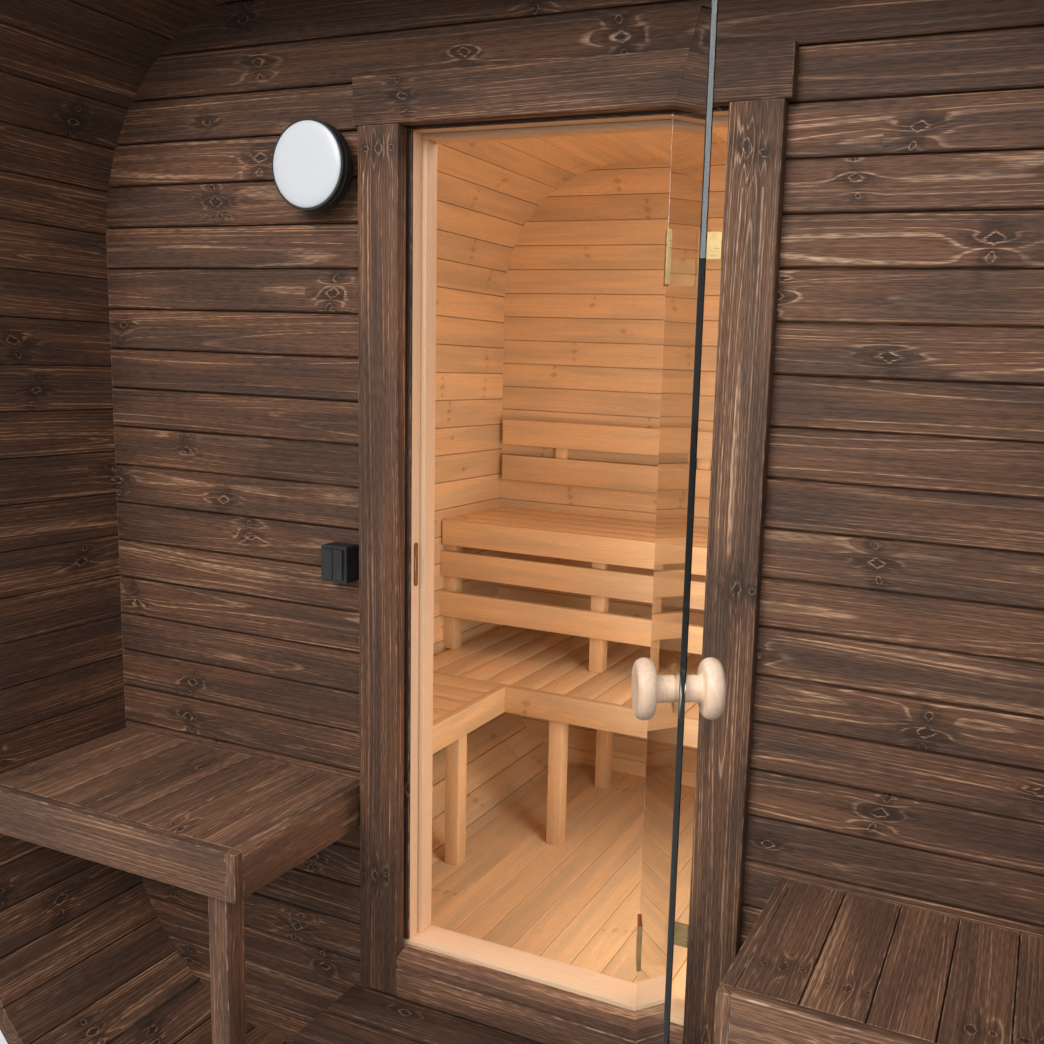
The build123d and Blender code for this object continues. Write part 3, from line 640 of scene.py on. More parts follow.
ROOM = Timber("room_spruce", early=tone(227, 190, 145), warm=tone(215, 172, 122), late=tone(196, 142, 92),
              knot=tone(168, 116, 72), rim=tone(184, 130, 82), worn=tone(238, 208, 170), ring=0.0046,
              line=0.35, knots=0.14, late_share=0.38, fibre_share=0.12, tint_share=0.26, halo_share=0.04,
              knot_share=0.42, wear_reach=0.0018, wear_share=0.25, rough_low=0.48, rough_high=0.62,
              relief=0.0003)
LIGHT_FRAME = Timber("frame_spruce", early=tone(234, 198, 164), warm=tone(228, 190, 152),
                     late=tone(206, 162, 120), knot=tone(172, 122, 82), rim=tone(188, 138, 96),
                     worn=tone(242, 216, 190), ring=0.0036, line=0.4, knots=0.08, wander=0.008,
                     late_share=0.35, fibre_share=0.08, tint_share=0.08, halo_share=0.05, knot_share=0.6,
                     wear_reach=0.0018, wear_share=0.35, rough_low=0.40, rough_high=0.52, relief=0.0002)
FINISHES = (STAINED, ROOM, LIGHT_FRAME, TurnedWood("turned_beech"), ClearGlass("clear_glass"),
            Metal("hinge_metal", tone(178, 150, 106), tone(126, 98, 64), 0.28),
            Metal("rose_steel", tone(204, 190, 168), tone(156, 142, 122), 0.24),
            Metal("bronze_strike", tone(150, 118, 78), tone(98, 72, 44), 0.34),
            Metal("band_steel", tone(186, 186, 184), tone(140, 140, 138), 0.3, (400.0, 60.0, 400.0)),
            Moulding("lamp_black", tone(22, 22, 23), tone(70, 68, 66), 0.5),
            Moulding("lamp_opal", tone(222, 225, 230), tone(206, 206, 204), 0.24, 0.12, 0.00005),
            Moulding("switch_black", tone(24, 24, 25), tone(76, 74, 72), 0.42))


@dataclass(frozen=True)
class Coat:
    """A material and the record's slot that it belongs to."""

    material: bpy.types.Material
    slot: Slot = Slot.STAINED


class Palette:
    """Every coat of the scene, each made once."""

    def __init__(self, room: tuple[float, float]) -> None:
        """Makes the coats.

        Args:
            room: where the bare lining starts and ends along Y.
        """
        self.coats = {Slot(finish.name): Coat(finish.material(), Slot(finish.name)) for finish in FINISHES}
        self.shell = Coat(STAINED.material(ROOM, room))
        # The darker coat paints shade on the deck and along the frame's outer edge.
        # The lighter coat paints light on the benches, sill, legs and cradles.
        self.handled, self.shaded = Coat(STAINED_LIT_WORN.material()), Coat(STAINED_SHADED.material())

    def __getitem__(self, slot: Slot) -> Coat:
        """Returns the plain coat of a slot."""
        return self.coats[slot]


# Meshes


@dataclass
class BoardRow:
    """A row of equal boards made by Geometry Nodes, laid side by side or fanned round an axis.

    A board lies along local X, its width runs along Y and its face looks along Z.
    """

    length: float
    width: float
    thickness: float
    count: int
    pitch: float = 0.0
    face_width: Optional[float] = None
    ease: float = 0.0015
    ease_count: int = 2
    gap: float = 0.0
    groove: float = 0.010
    first_turn: float = 0.0
    turn: float = 0.0
    lift: float = 0.0
    seed: int = 1

    TREE = "board_row"

    @classmethod
    def tree(cls) -> bpy.types.NodeTree:
        """Returns the geometry tree, built on first use."""
        known = bpy.data.node_groups.get(cls.TREE)
        if known:
            return known
        b = GroupBench(cls.TREE, {"Float": "Length, Width, Face width, Thickness, Pitch, Ease, Gap, Groove, "
                                           "First turn, Turn, Lift",
                                  "Int": "Ease count, Count, Seed", "Material": "Material"},
                       {"Geometry": "Boards"}, "GeometryNodeTree")
        t = b.taken
        half_length = b.times(t["Length"], 0.5)
        outer = cls.sweep(b, half_length, b.minus(t["Face width"], t["Gap"]), b.minus(t["Width"], t["Gap"]),
                          t["Thickness"], {"Count": t["Ease count"], "Radius": t["Ease"]})
        # the tongue that closes each gap, a groove's depth below both faces
        share = b.math("DIVIDE", t["Groove"], t["Thickness"])
        tongue = cls.sweep(b, b.minus(half_length, 0.001), b.blend(share, t["Face width"], t["Width"]),
                           b.blend(share, t["Width"], t["Face width"]),
                           b.times_plus(t["Groove"], -2.0, t["Thickness"]))
        both = b.node("GeometryNodeJoinGeometry")
        for part in (outer, tongue):
            b.feed(both, {0: part})
        shape = b.make("GeometryNodeSwitch", {"Switch": b.math("GREATER_THAN", t["Gap"], 0.0), "False": outer,
                                              "True": both.outputs[0]}, input_type="GEOMETRY")
        half = b.join(half_length, b.times(t["Face width"], 0.5), b.times(t["Thickness"], 0.5))
        for name, value in (("grain", b.node("GeometryNodeInputPosition").outputs[0]), ("half", half)):
            shape = b.make("GeometryNodeStoreNamedAttribute",
                           {"Geometry": shape, "Name": name, "Value": value},
                           data_type="FLOAT_VECTOR", domain="POINT")
        lifted = b.join(0.0, 0.0, t["Lift"])
        shape = b.make("GeometryNodeTransform", {"Geometry": shape, "Translation": lifted})
        index = b.node("GeometryNodeInputIndex").outputs[0]
        spots = b.make("GeometryNodePoints", {"Count": t["Count"],
                                              "Position": b.join(0.0, b.times(index, t["Pitch"]), 0.0)})
        turned = b.join(b.times_plus(index, t["Turn"], t["First turn"]), 0.0, 0.0)
        shape = b.make("GeometryNodeInstanceOnPoints",
                       {"Points": spots, "Instance": shape, "Rotation": turned})
        luck = b.make("FunctionNodeRandomValue", {"Seed": t["Seed"], "ID": index}, 1, data_type="FLOAT")
        shape = b.make("GeometryNodeStoreNamedAttribute", {"Geometry": shape, "Name": "board", "Value": luck},
                       data_type="FLOAT", domain="INSTANCE")
        shape = b.make("GeometryNodeRealizeInstances", {"Geometry": shape})
        shape = b.make("GeometryNodeSetMaterial", {"Geometry": shape, "Material": t["Material"]})
        return b.give(boards=shape)

    @staticmethod
    def sweep(b: NodeBench, half_length: Socket, face: Socket, back: Socket, thickness: Socket,
              ease: Optional[dict[str, Socket]] = None) -> Socket:
        """Adds the nodes that sweep one board's section along X.

        Args:
            b: the tree's bench.
            half_length: half the board's length.
            face: its width at the face.
            back: its width at the back.
            thickness: its thickness.
            ease: how finely and how far its arrises are cut, or None for sharp ones.

        Returns:
            The board as a mesh.
        """
        ends = {"Start": b.join(b.times(half_length, -1.0), 0.0, 0.0), "End": b.join(half_length, 0.0, 0.0)}
        line = b.make("GeometryNodeCurvePrimitiveLine", ends, mode="POINTS")
        section = b.make("GeometryNodeCurvePrimitiveQuadrilateral", {
            "Bottom Width": face, "Top Width": back, "Offset": 0.0, "Height": thickness}, mode="TRAPEZOID")
        if ease is not None:
            section = b.make("GeometryNodeFilletCurve", {"Curve": section, **ease}, mode="POLY")
        return b.make("GeometryNodeCurveToMesh", {"Curve": line, "Profile Curve": section, "Fill Caps": True})

    def centred(self, place: Matrix) -> Matrix:
        """Returns a place moved so that the row's middle lies where its first board would."""
        return place @ Matrix.Translation((0, -(self.count - 1) / 2 * self.pitch, 0))

    def mesh(self, material: bpy.types.Material) -> bpy.types.Mesh:
        """Evaluates the row as a plain mesh.

        Args:
            material: what the boards are dressed in.

        Returns:
            The mesh, in the row's own axes.
        """
        tree = self.tree()
        holder = bpy.data.objects.new("row", bpy.data.meshes.new("row"))
        bpy.context.scene.collection.objects.link(holder)
        maker = holder.modifiers.new("row", "NODES")
        maker.node_group = tree
        values = {**vars(self), "face_width": self.face_width or self.width, "material": material}
        for item in tree.interface.items_tree:
            if item.in_out == "INPUT":
                maker[item.identifier] = values[item.name.lower().replace(" ", "_")]
        bpy.context.view_layer.update()
        depsgraph = bpy.context.evaluated_depsgraph_get()
        mesh = bpy.data.meshes.new_from_object(holder.evaluated_get(depsgraph), preserve_all_data_layers=True,
                                               depsgraph=depsgraph)
        holder.modifiers.remove(maker)
        bpy.data.objects.remove(holder)
        return mesh


class Work:
    """A mesh in the making, which ends as one piece of the scene."""

    def __init__(self, coat: Coat, sharp: float = 38.0) -> None:
        """Starts an empty mesh.

        Args:
            coat: what it is dressed in.
            sharp: the angle in degrees from which an edge looks sharp, or 0 for flat faces.
        """
        self.bm = bmesh.new()
        self.coat = coat
        self.sharp = sharp

    def piece(self, name: str, *nodes: str, body: Body = Body.BUILDING) -> None:
        """Turns the mesh into an object that rides on a body, and reports it.

        Args:
            name: the piece's name.
            nodes: the frame's nodes that it stands for.
            body: the body it moves with.
        """
        bmesh.ops.recalc_face_normals(self.bm, faces=self.bm.faces[:])
        mesh = bpy.data.meshes.new(name)
        self.bm.to_mesh(mesh)
        self.bm.free()
        if self.sharp:
            for poly in mesh.polygons:
                poly.use_smooth = True
            mesh.set_sharp_from_angle(angle=math.radians(self.sharp))
        mesh.materials.append(self.coat.material)
        made = bpy.data.objects.new(name, mesh)
        bpy.context.scene.collection.objects.link(made)
        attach(made, body.value)
        if nodes:
            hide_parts(*nodes)
        LOG.info("%s: %d faces", name, len(mesh.polygons))


class TimberPile(Work):
    """Gathers boards into one piece, with each point's place in its own board."""

    def __init__(self, coat: Coat, seed: int = 0) -> None:
        """Starts an empty pile.

        Args:
            coat: what its boards are dressed in.
            seed: makes its boards differ from those of other piles.
        """
        super().__init__(coat)
        layers = self.bm.verts.layers
        self.layers = (layers.float_vector.new("grain"), layers.float_vector.new("half"),
                       layers.float.new("board"))
        self.seed = seed
        self.laid = 0

    def _point(self, place: Vector, *values: Union[Vector, float]) -> bmesh.types.BMVert:
        """Adds a point to the pile.

        Args:
            place: where it lies in the frame.
            values: its place in its board, the board's half size and the board's number.

        Returns:
            The point.
        """
        made = self.bm.verts.new(place)
        for layer, value in zip(self.layers, values):
            made[layer] = value
        return made

    def row(self, row: BoardRow, place: Matrix) -> "TimberPile":
        """Adds a row of boards.

        Args:
            row: the row.
            place: from the row's axes to the frame.

        Returns:
            The pile.
        """
        mesh = row.mesh(self.coat.material)
        grain, half, board = (mesh.attributes[name].data for name in ("grain", "half", "board"))
        verts = [self._point(place @ v.co, grain[k].vector, half[k].vector, board[k].value)
                 for k, v in enumerate(mesh.vertices)]
        for poly in mesh.polygons:
            self.bm.faces.new([verts[k] for k in poly.vertices])
        bpy.data.meshes.remove(mesh)
        return self

    def plank(self, low: Sequence[float], high: Sequence[float], grain: Grain, ease: float = 0.0015
              ) -> "TimberPile":
        """Adds one straight board between its lowest and its highest corner; see prism."""
        section = [(low[1], low[2]), (high[1], low[2]), (high[1], high[2]), (low[1], high[2])]
        return self.prism(section, low[0], high[0], grain, ease)

    def prism(self, section: Sequence[tuple[float, float]], start: float, end: float, grain: Grain,
              ease: float) -> "TimberPile":
        """Adds a board with a drawn section in the YZ plane, reaching from start to end along X.

        Args:
            section: the outline, anticlockwise seen from +X.
            start: its lowest X.
            end: its highest X.
            grain: the direction of its fibres.
            ease: how far its arrises are rounded.

        Returns:
            The pile.
        """
        solid = bmesh.new()
        near, far = ([solid.verts.new((x, y, z)) for y, z in section] for x in (start, end))
        solid.faces.new(list(reversed(near)))
        solid.faces.new(far)
        for k in range(len(section)):
            n = (k + 1) % len(section)
            solid.faces.new((near[k], near[n], far[n], far[k]))
        bmesh.ops.recalc_face_normals(solid, faces=solid.faces[:])
        bmesh.ops.bevel(solid, geom=solid.edges[:] + solid.verts[:], offset=ease, segments=2, profile=0.5,
                        affect="EDGES", clamp_overlap=True)
        low, high = (Vector([pick(v.co[k] for v in solid.verts) for k in range(3)]) for pick in (min, max))
        centre, size = (low + high) / 2, high - low
        order = (grain.value, *sorted((k for k in range(3) if k != grain.value), key=lambda k: -size[k]))
        half = Vector([size[k] / 2 for k in order])
        self.laid += 1
        number = (self.seed * 0.381966 + self.laid * 0.618034) % 1.0
        found = {v: self._point(v.co, Vector([v.co[k] - centre[k] for k in order]), half, number)
                 for v in solid.verts}
        for face in solid.faces:
            self.bm.faces.new([found[v] for v in face.verts])
        solid.free()
        return self

    def clip(self, planes: Sequence[tuple[Vector, Vector]]) -> "TimberPile":
        """Cuts everything off that stands in front of a plane, and closes the cuts.

        Args:
            planes: a point on each plane and its normal, which points at what is cut off.

        Returns:
            The pile.
        """
        for point, normal in planes:
            if not any((v.co - point).dot(normal) > 1e-6 for v in self.bm.verts):
                continue
            geometry = self.bm.verts[:] + self.bm.edges[:] + self.bm.faces[:]
            cut = bmesh.ops.bisect_plane(self.bm, geom=geometry, dist=1e-7, plane_co=point, plane_no=normal,
                                         clear_outer=True)
            edges = [e for e in cut["geom_cut"] if isinstance(e, bmesh.types.BMEdge) and e.is_boundary]
            if edges:
                bmesh.ops.edgeloop_fill(self.bm, edges=edges)
        return self


class Lathe(Work):
    """Turns drawn profiles round an axis into one closed mesh."""

    def __init__(self, coat: Coat, segments: int) -> None:
        """Starts an empty mesh whose turns have so many steps."""
        super().__init__(coat, 35.0)
        self.segments = segments

    def turn(self, profile: Sequence[tuple[float, float]], place: Matrix, closed: bool = False) -> "Lathe":
        """Turns one profile about local Z.

        Args:
            profile: radius and height of each point, from the bottom up; an open one ends on the axis.
            place: from the profile's axes to the frame.
            closed: joins the last point to the first, as for a ring.

        Returns:
            The lathe.
        """
        angles = [2 * math.pi * k / self.segments for k in range(self.segments)]
        rings = [[self.bm.verts.new(place @ Vector((r * math.cos(a), r * math.sin(a), z)))
                  for a in (angles if r > 1e-7 else angles[:1])] for r, z in profile]
        for low, high in list(zip(rings, rings[1:])) + ([(rings[-1], rings[0])] if closed else []):
            for k in range(self.segments):
                n = (k + 1) % self.segments
                corners = (low[k % len(low)], low[n % len(low)], high[n % len(high)], high[k % len(high)])
                self.bm.faces.new(list(dict.fromkeys(corners)))
        return self


def axes(x_dir: Sequence[float], z_dir: Sequence[float], origin: Sequence[float]) -> Matrix:
    """Builds the matrix of a local frame.

    Args:
        x_dir: where local X points.
        z_dir: where local Z points.
        origin: where the local origin is.

    Returns:
        The 4x4 matrix.
    """
    x, z = Vector(x_dir).normalized(), Vector(z_dir).normalized()
    matrix = Matrix((x, z.cross(x), z)).transposed().to_4x4()
    matrix.translation = Vector(origin)
    return matrix


# The sauna


class Plan:
    """Levels and lines that the frame's nodes give, in metres."""

    def __init__(self) -> None:
        """Reads the boxes of the main nodes."""
        low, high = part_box("shell_wall_right")
        self.front_y, self.rear_y = low.y, high.y
        self.length, self.mid_y = high.y - low.y, (low.y + high.y) / 2
        self.side_x, self.stave_t = low.x, high.x - low.x
        roof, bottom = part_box("shell_roof"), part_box("shell_bottom")
        self.core_low, self.core_high, self.core_w = low.z, high.z, roof[1].x
        self.under_z, self.low_in, self.top_in = bottom[0].z, bottom[1].z, roof[0].z
        self.corner_r = self.side_x - self.core_w
        self.corners = {"top_right": (1, self.core_high), "top_left": (-1, self.core_high),
                        "low_left": (-1, self.core_low), "low_right": (1, self.core_low)}
        left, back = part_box("front_wall_left"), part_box("back_wall")
        self.wall_y, self.wall_in_y, self.opening_x = left[0].y, left[1].y, -left[1].x
        self.back_y, self.back_out_y = back[0].y, back[1].y
        self.floor_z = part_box("room_floor")[1].z
        self.lining = self.lining_planes()

    def lining_planes(self) -> list[tuple[Vector, Vector]]:
        """Returns a point and a normal for each plane of the rounded inner face, pointing outwards."""
        step = math.radians(90.0 / CORNER_STAVES)
        apothem = self.corner_r * math.cos(step / 2)
        planes = []
        for quarter, (side, level) in enumerate(self.corners.values()):
            for k in range(CORNER_STAVES):
                a = math.radians(quarter * 90) + (k + 0.5) * step
                out = Vector((math.cos(a), 0.0, math.sin(a)))
                planes.append((Vector((side * self.core_w, 0.0, level)) + out * apothem, out))
        for out, reach in (((1, 0, 0), self.side_x), ((-1, 0, 0), self.side_x), ((0, 0, 1), self.top_in),
                           ((0, 0, -1), -self.low_in)):
            planes.append((Vector(out) * reach, Vector(out)))
        return planes


@dataclass
class Assembly:
    """A part of the sauna, drawn from the plan and dressed from the palette."""

    plan: Plan
    palette: Palette


@dataclass
class Shell(Assembly):
    """The rounded shell: four panels of straight staves and four corners of tapered ones."""

    staves: int = 14
    joint: float = 0.0018
    gap: float = 0.0022

    def build(self) -> None:
        """Builds the panels and the corners."""
        p = self.plan
        height, width, off = p.core_high - p.core_low, 2 * p.core_w, p.stave_t / 2
        middle = (p.core_low + p.core_high) / 2
        self.panel("wall_right", height, (1, 0, 0), p.side_x + off, middle, 3)
        self.panel("wall_left", height, (-1, 0, 0), -p.side_x - off, middle, 5)
        self.panel("roof", width, (0, 0, 1), 0, p.top_in + off, 7)
        self.panel("bottom", width, (0, 0, -1), 0, p.low_in - off, 11)
        for quarter, (name, (side, level)) in enumerate(p.corners.items()):
            self.corner(name, quarter, side * p.core_w, level)

    def panel(self, name: str, span: float, out: Sequence[float], x: float, z: float, seed: int) -> None:
        """Builds one flat panel of staves.

        Args:
            name: the panel's name.
            span: its width across the staves.
            out: the direction that its outer face looks in.
            x: its middle along X.
            z: its middle along Z.
            seed: for its boards' figure.
        """
        width = span / self.staves
        row = BoardRow(self.plan.length, width, self.plan.stave_t, self.staves, width, ease=self.joint,
                       ease_count=1, gap=self.gap, seed=seed)
        place = row.centred(axes((0, 1, 0), out, (x, self.plan.mid_y, z)))
        TimberPile(self.palette.shell).row(row, place).piece("staves_" + name.removeprefix("wall_"),
                                                             "shell_" + name)

    def corner(self, name: str, quarter: int, x: float, z: float) -> None:
        """Builds one rounded corner of tapered staves.

        Args:
            name: which corner.
            quarter: how many quarter turns from the top right one.
            x: the corner's centre along X.
            z: the corner's centre along Z.
        """
        p = self.plan
        step = math.radians(90.0 / CORNER_STAVES)
        inner, outer = p.corner_r, p.corner_r + p.stave_t
        near, far = inner * math.cos(step / 2), outer * math.cos(step / 2)
        a = math.radians(quarter * 90)
        row = BoardRow(p.length, 2 * inner * math.sin(step / 2), far - near, CORNER_STAVES,
                       face_width=2 * outer * math.sin(step / 2), ease=self.joint, ease_count=1, gap=self.gap,
                       first_turn=-step / 2, turn=-step, lift=(near + far) / 2, seed=17 + quarter)
        place = axes((0, 1, 0), (math.cos(a), 0, math.sin(a)), (x, p.mid_y, z))
        TimberPile(self.palette.shell).row(row, place).piece("staves_" + name, "shell_corner_" + name)


@dataclass
class EndWalls(Assembly):
    """The door wall and the back wall, of tongued boards with V joints, scribed to the shell."""

    pitch: float = 0.0884
    joint: float = 0.0026
    gap: float = 0.0044
    tight_gap: float = 0.0014
    first_joint: float = 1.700

    def rows(self, out: int, start: float, end: float, seed: int, gap: float) -> TimberPile:
        """Lays one wall's boards over the whole section of the shell.

        Args:
            out: -1 for the door wall, which faces -Y, or 1 for the back wall.
            start: its lowest Y.
            end: its highest Y.
            seed: for its boards' figure.
            gap: the open joint between its boards.

        Returns:
            The pile, not yet cut.
        """
        p = self.plan
        low = self.first_joint - math.ceil((self.first_joint - p.low_in) / self.pitch) * self.pitch
        count = math.ceil((p.top_in - low) / self.pitch)
        row = BoardRow(2 * p.side_x, self.pitch, end - start, count, self.pitch, ease=self.joint,
                       ease_count=1, gap=gap, seed=seed)
        place = axes((-out, 0, 0), (0, out, 0), (0, (start + end) / 2, low + self.pitch / 2))
        return TimberPile(self.palette.shell, seed).row(row, place)

    def build(self) -> None:
        """Builds the four parts of the door wall and the back wall."""
        p = self.plan
        right, left, up, down = (Vector(v) for v in ((1, 0, 0), (-1, 0, 0), (0, 0, 1), (0, 0, -1)))
        low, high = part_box("front_wall_below_door")[1].z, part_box("front_wall_over_door")[0].z
        between = [(right * p.opening_x, right), (left * p.opening_x, left)]
        cuts = {"left": [(left * p.opening_x, right)], "right": [(right * p.opening_x, left)],
                "over_door": between + [(up * high, down)], "below_door": between + [(up * low, up)]}
        for name, planes in cuts.items():
            pile = self.rows(-1, p.wall_y, p.wall_in_y, 23, self.gap).clip(planes + p.lining)
            pile.piece("wall_boards_" + name, "front_wall_" + name)
        back = self.rows(1, p.back_y, p.back_out_y, 29, self.tight_gap)
        back.clip(p.lining).piece("back_wall_boards", "back_wall")


@dataclass
class DoorSurround(Assembly):
    """Dark casings and sill outside, and the light frame, stop and threshold in the opening."""

    stop_t: float = 0.011
    stop_depth: float = 0.038
    frame_t: float = 0.022
    painted: float = 0.006
    sill_t: float = 0.027
    sill_fall: float = 0.012

    def build(self) -> None:
        """Builds the casings, the sill, the frame and the threshold."""
        self.board("casing_left", 42, Grain.Z)
        self.board("casing_right", 43, Grain.Z)
        self.board("casing_head", 37, Grain.X)
        self.sill()
        self.light_frame()
        self.board("threshold", 41, Grain.X, Slot.LIGHT_FRAME)

    def board(self, node: str, seed: int, grain: Grain, slot: Slot = Slot.STAINED) -> None:
        """Builds one straight board in a node's place.

        Args:
            node: the node.
            seed: for the board's figure.
            grain: the direction of its fibres.
            slot: its coat.
        """
        pile = TimberPile(self.palette[slot], seed).plank(*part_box(node), grain, 0.003)
        pile.piece(node + "_board", node)

    def sill(self) -> None:
        """Builds the sill: an apron board under a sloping board that runs under the threshold."""
        low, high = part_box("door_sill")
        wall, back, front = self.plan.wall_y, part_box("threshold")[0].y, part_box("casing_left")[0].y
        nose = high.z - self.sill_fall
        under = nose - self.sill_t
        # The sill takes the lighter coat, whose tone is painted light.
        pile = TimberPile(self.palette.handled, 43)
        pile.prism([(front, low.z), (wall, low.z), (wall, under), (front, under)],
                   low.x, high.x, Grain.X, 0.002)
        pile.prism([(front, under), (back, high.z - self.sill_t), (back, high.z), (front, nose)],
                   low.x, high.x, Grain.X, 0.003)
        pile.piece("door_sill_boards", "door_sill")

    def light_frame(self) -> None:
        """Builds the frame and its stop strips, with a dark strip along the outer edge: painted shade in the
        recess behind the casings, and their stain lapped over.
        """
        low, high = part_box("door_frame")
        t, edge = self.frame_t, low.y + self.painted

        def portal(pile: TimberPile, start: float, end: float, inset: float, board: float, ease: float
                   ) -> None:
            """Adds two jambs and a head.

            Args:
                pile: what they go into.
                start: their lowest Y.
                end: their highest Y.
                inset: how far in from the frame's outer sides they stand.
                board: their thickness.
                ease: how far their arrises are rounded.
            """
            left, right, top = low.x + inset, high.x - inset, high.z - inset
            pile.plank((left, start, low.z), (left + board, end, top - board), Grain.Z, ease)
            pile.plank((right - board, start, low.z), (right, end, top - board), Grain.Z, ease)
            pile.plank((left, start, top - board), (right, end, top), Grain.X, ease)

        # The outer strip's darker coat paints the shade of the recess behind the casings.
        outer = TimberPile(self.palette.shaded, 53)
        portal(outer, low.y, edge, 0.0, t, 0.0008)
        outer.piece("frame_outer_edge", "door_frame")
        inner = TimberPile(self.palette[Slot.LIGHT_FRAME], 47)
        portal(inner, edge, high.y, 0.0, t, 0.0008)
        portal(inner, high.y - self.stop_depth, high.y, t, self.stop_t, 0.002)
        inner.piece("light_frame", "door_frame")


@dataclass
class Terrace(Assembly):
    """The deck and the two slatted benches of the terrace."""

    deck_slat_w: float = 0.092
    slat_t: float = 0.028
    deck_gap: float = 0.012
    joist_t: float = 0.045
    joists: int = 4
    slat_w: float = 0.095
    slat_gap: float = 0.002
    apron_t: float = 0.022
    leg: float = 0.045

    def build(self) -> None:
        """Builds the deck, the benches and their legs."""
        self.deck()
        self.bench("terrace_bench_left", -1)
        self.bench("terrace_bench_right", 1)
        low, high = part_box("terrace_bench_legs")
        # The leg posts take the lighter coat, whose tone is painted light.
        pile = TimberPile(self.palette.handled, 67)
        pile.plank(low, (low.x + self.leg, high.y, high.z), Grain.Z, 0.0025)
        pile.plank((high.x - self.leg, low.y, low.z), high, Grain.Z, 0.0025)
        pile.piece("terrace_bench_leg_posts", "terrace_bench_legs")

    def deck(self) -> None:
        """Builds the deck's slats and the joists below them."""
        front, wall = self.plan.front_y, self.plan.wall_y
        low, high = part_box("terrace_deck")
        width = high.x - low.x
        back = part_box("casing_left")[0].y
        pitch = self.deck_slat_w + self.deck_gap
        span = back - front
        count = int((span + self.deck_gap) // pitch)
        rest = span - count * pitch
        under = high.z - self.slat_t
        row = BoardRow(width, self.deck_slat_w, self.slat_t, count, -pitch, ease=0.003, seed=53)
        place = Matrix.Translation((0, back - self.deck_slat_w / 2, high.z - self.slat_t / 2))
        # The deck takes the darker coat: painted shade under the benches.
        pile = TimberPile(self.palette.shaded, 55).row(row, place)
        if rest > 2 * self.deck_gap:
            pile.plank((low.x, front, under), (high.x, front + rest, high.z), Grain.X, 0.003)
        step = (width - self.joist_t - 2 * self.deck_gap) / (self.joists - 1)
        joists = BoardRow(wall - front, self.joist_t, under - low.z, self.joists, step, ease=0.002, seed=57)
        place = axes((0, 1, 0), (0, 0, 1), (0, (front + wall) / 2, (low.z + under) / 2))
        pile.row(joists, joists.centred(place)).piece("deck_boards", "terrace_deck")

    def bench(self, node: str, side: int) -> None:
        """Builds one bench seat with its aprons, corner batten and ledgers.

        Args:
            node: the node it stands for.
            side: -1 for the left one, 1 for the right one.
        """
        low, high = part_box(node)
        near, far = sorted((abs(low.x), abs(high.x)))
        t, seat = self.apron_t, high.z - self.slat_t
        pitch = self.slat_w + self.slat_gap
        depth = high.y - low.y - t
        count = int((far - near - t) // pitch)
        rest = far - near - t - count * pitch
        row = BoardRow(depth, self.slat_w, self.slat_t, count, -side * pitch, ease=0.0028, seed=59 + side)
        place = axes((0, 1, 0), (0, 0, 1), (side * (near + t + self.slat_w / 2), low.y + t + depth / 2,
                                            high.z - self.slat_t / 2))
        # The seat takes the lighter coat, whose tone is painted light.
        pile = TimberPile(self.palette.handled, 61 + side).row(row, place)
        front, back, base = low.y + t, high.y, low.z
        bars = [(near + t, far, low.y, front, base, high.z, Grain.X),
                (near, near + t, front, back, base, high.z, Grain.Y),
                (near, near + t, low.y, front, base, high.z, Grain.Z),
                (near + t, far, back - t, back, base, seat, Grain.X),
                (far - t, far, front, back - t, base, seat, Grain.Y)]
        if rest > 2 * self.slat_gap:
            bars.insert(0, (far - rest, far, front, back, seat, high.z, Grain.Y))
        for x0, x1, y0, y1, z0, z1, grain in bars:
            a, b = sorted((side * x0, side * x1))
            pile.plank((a, y0, z0), (b, y1, z1), grain, 0.002)
        pile.piece(node + "_boards", node)


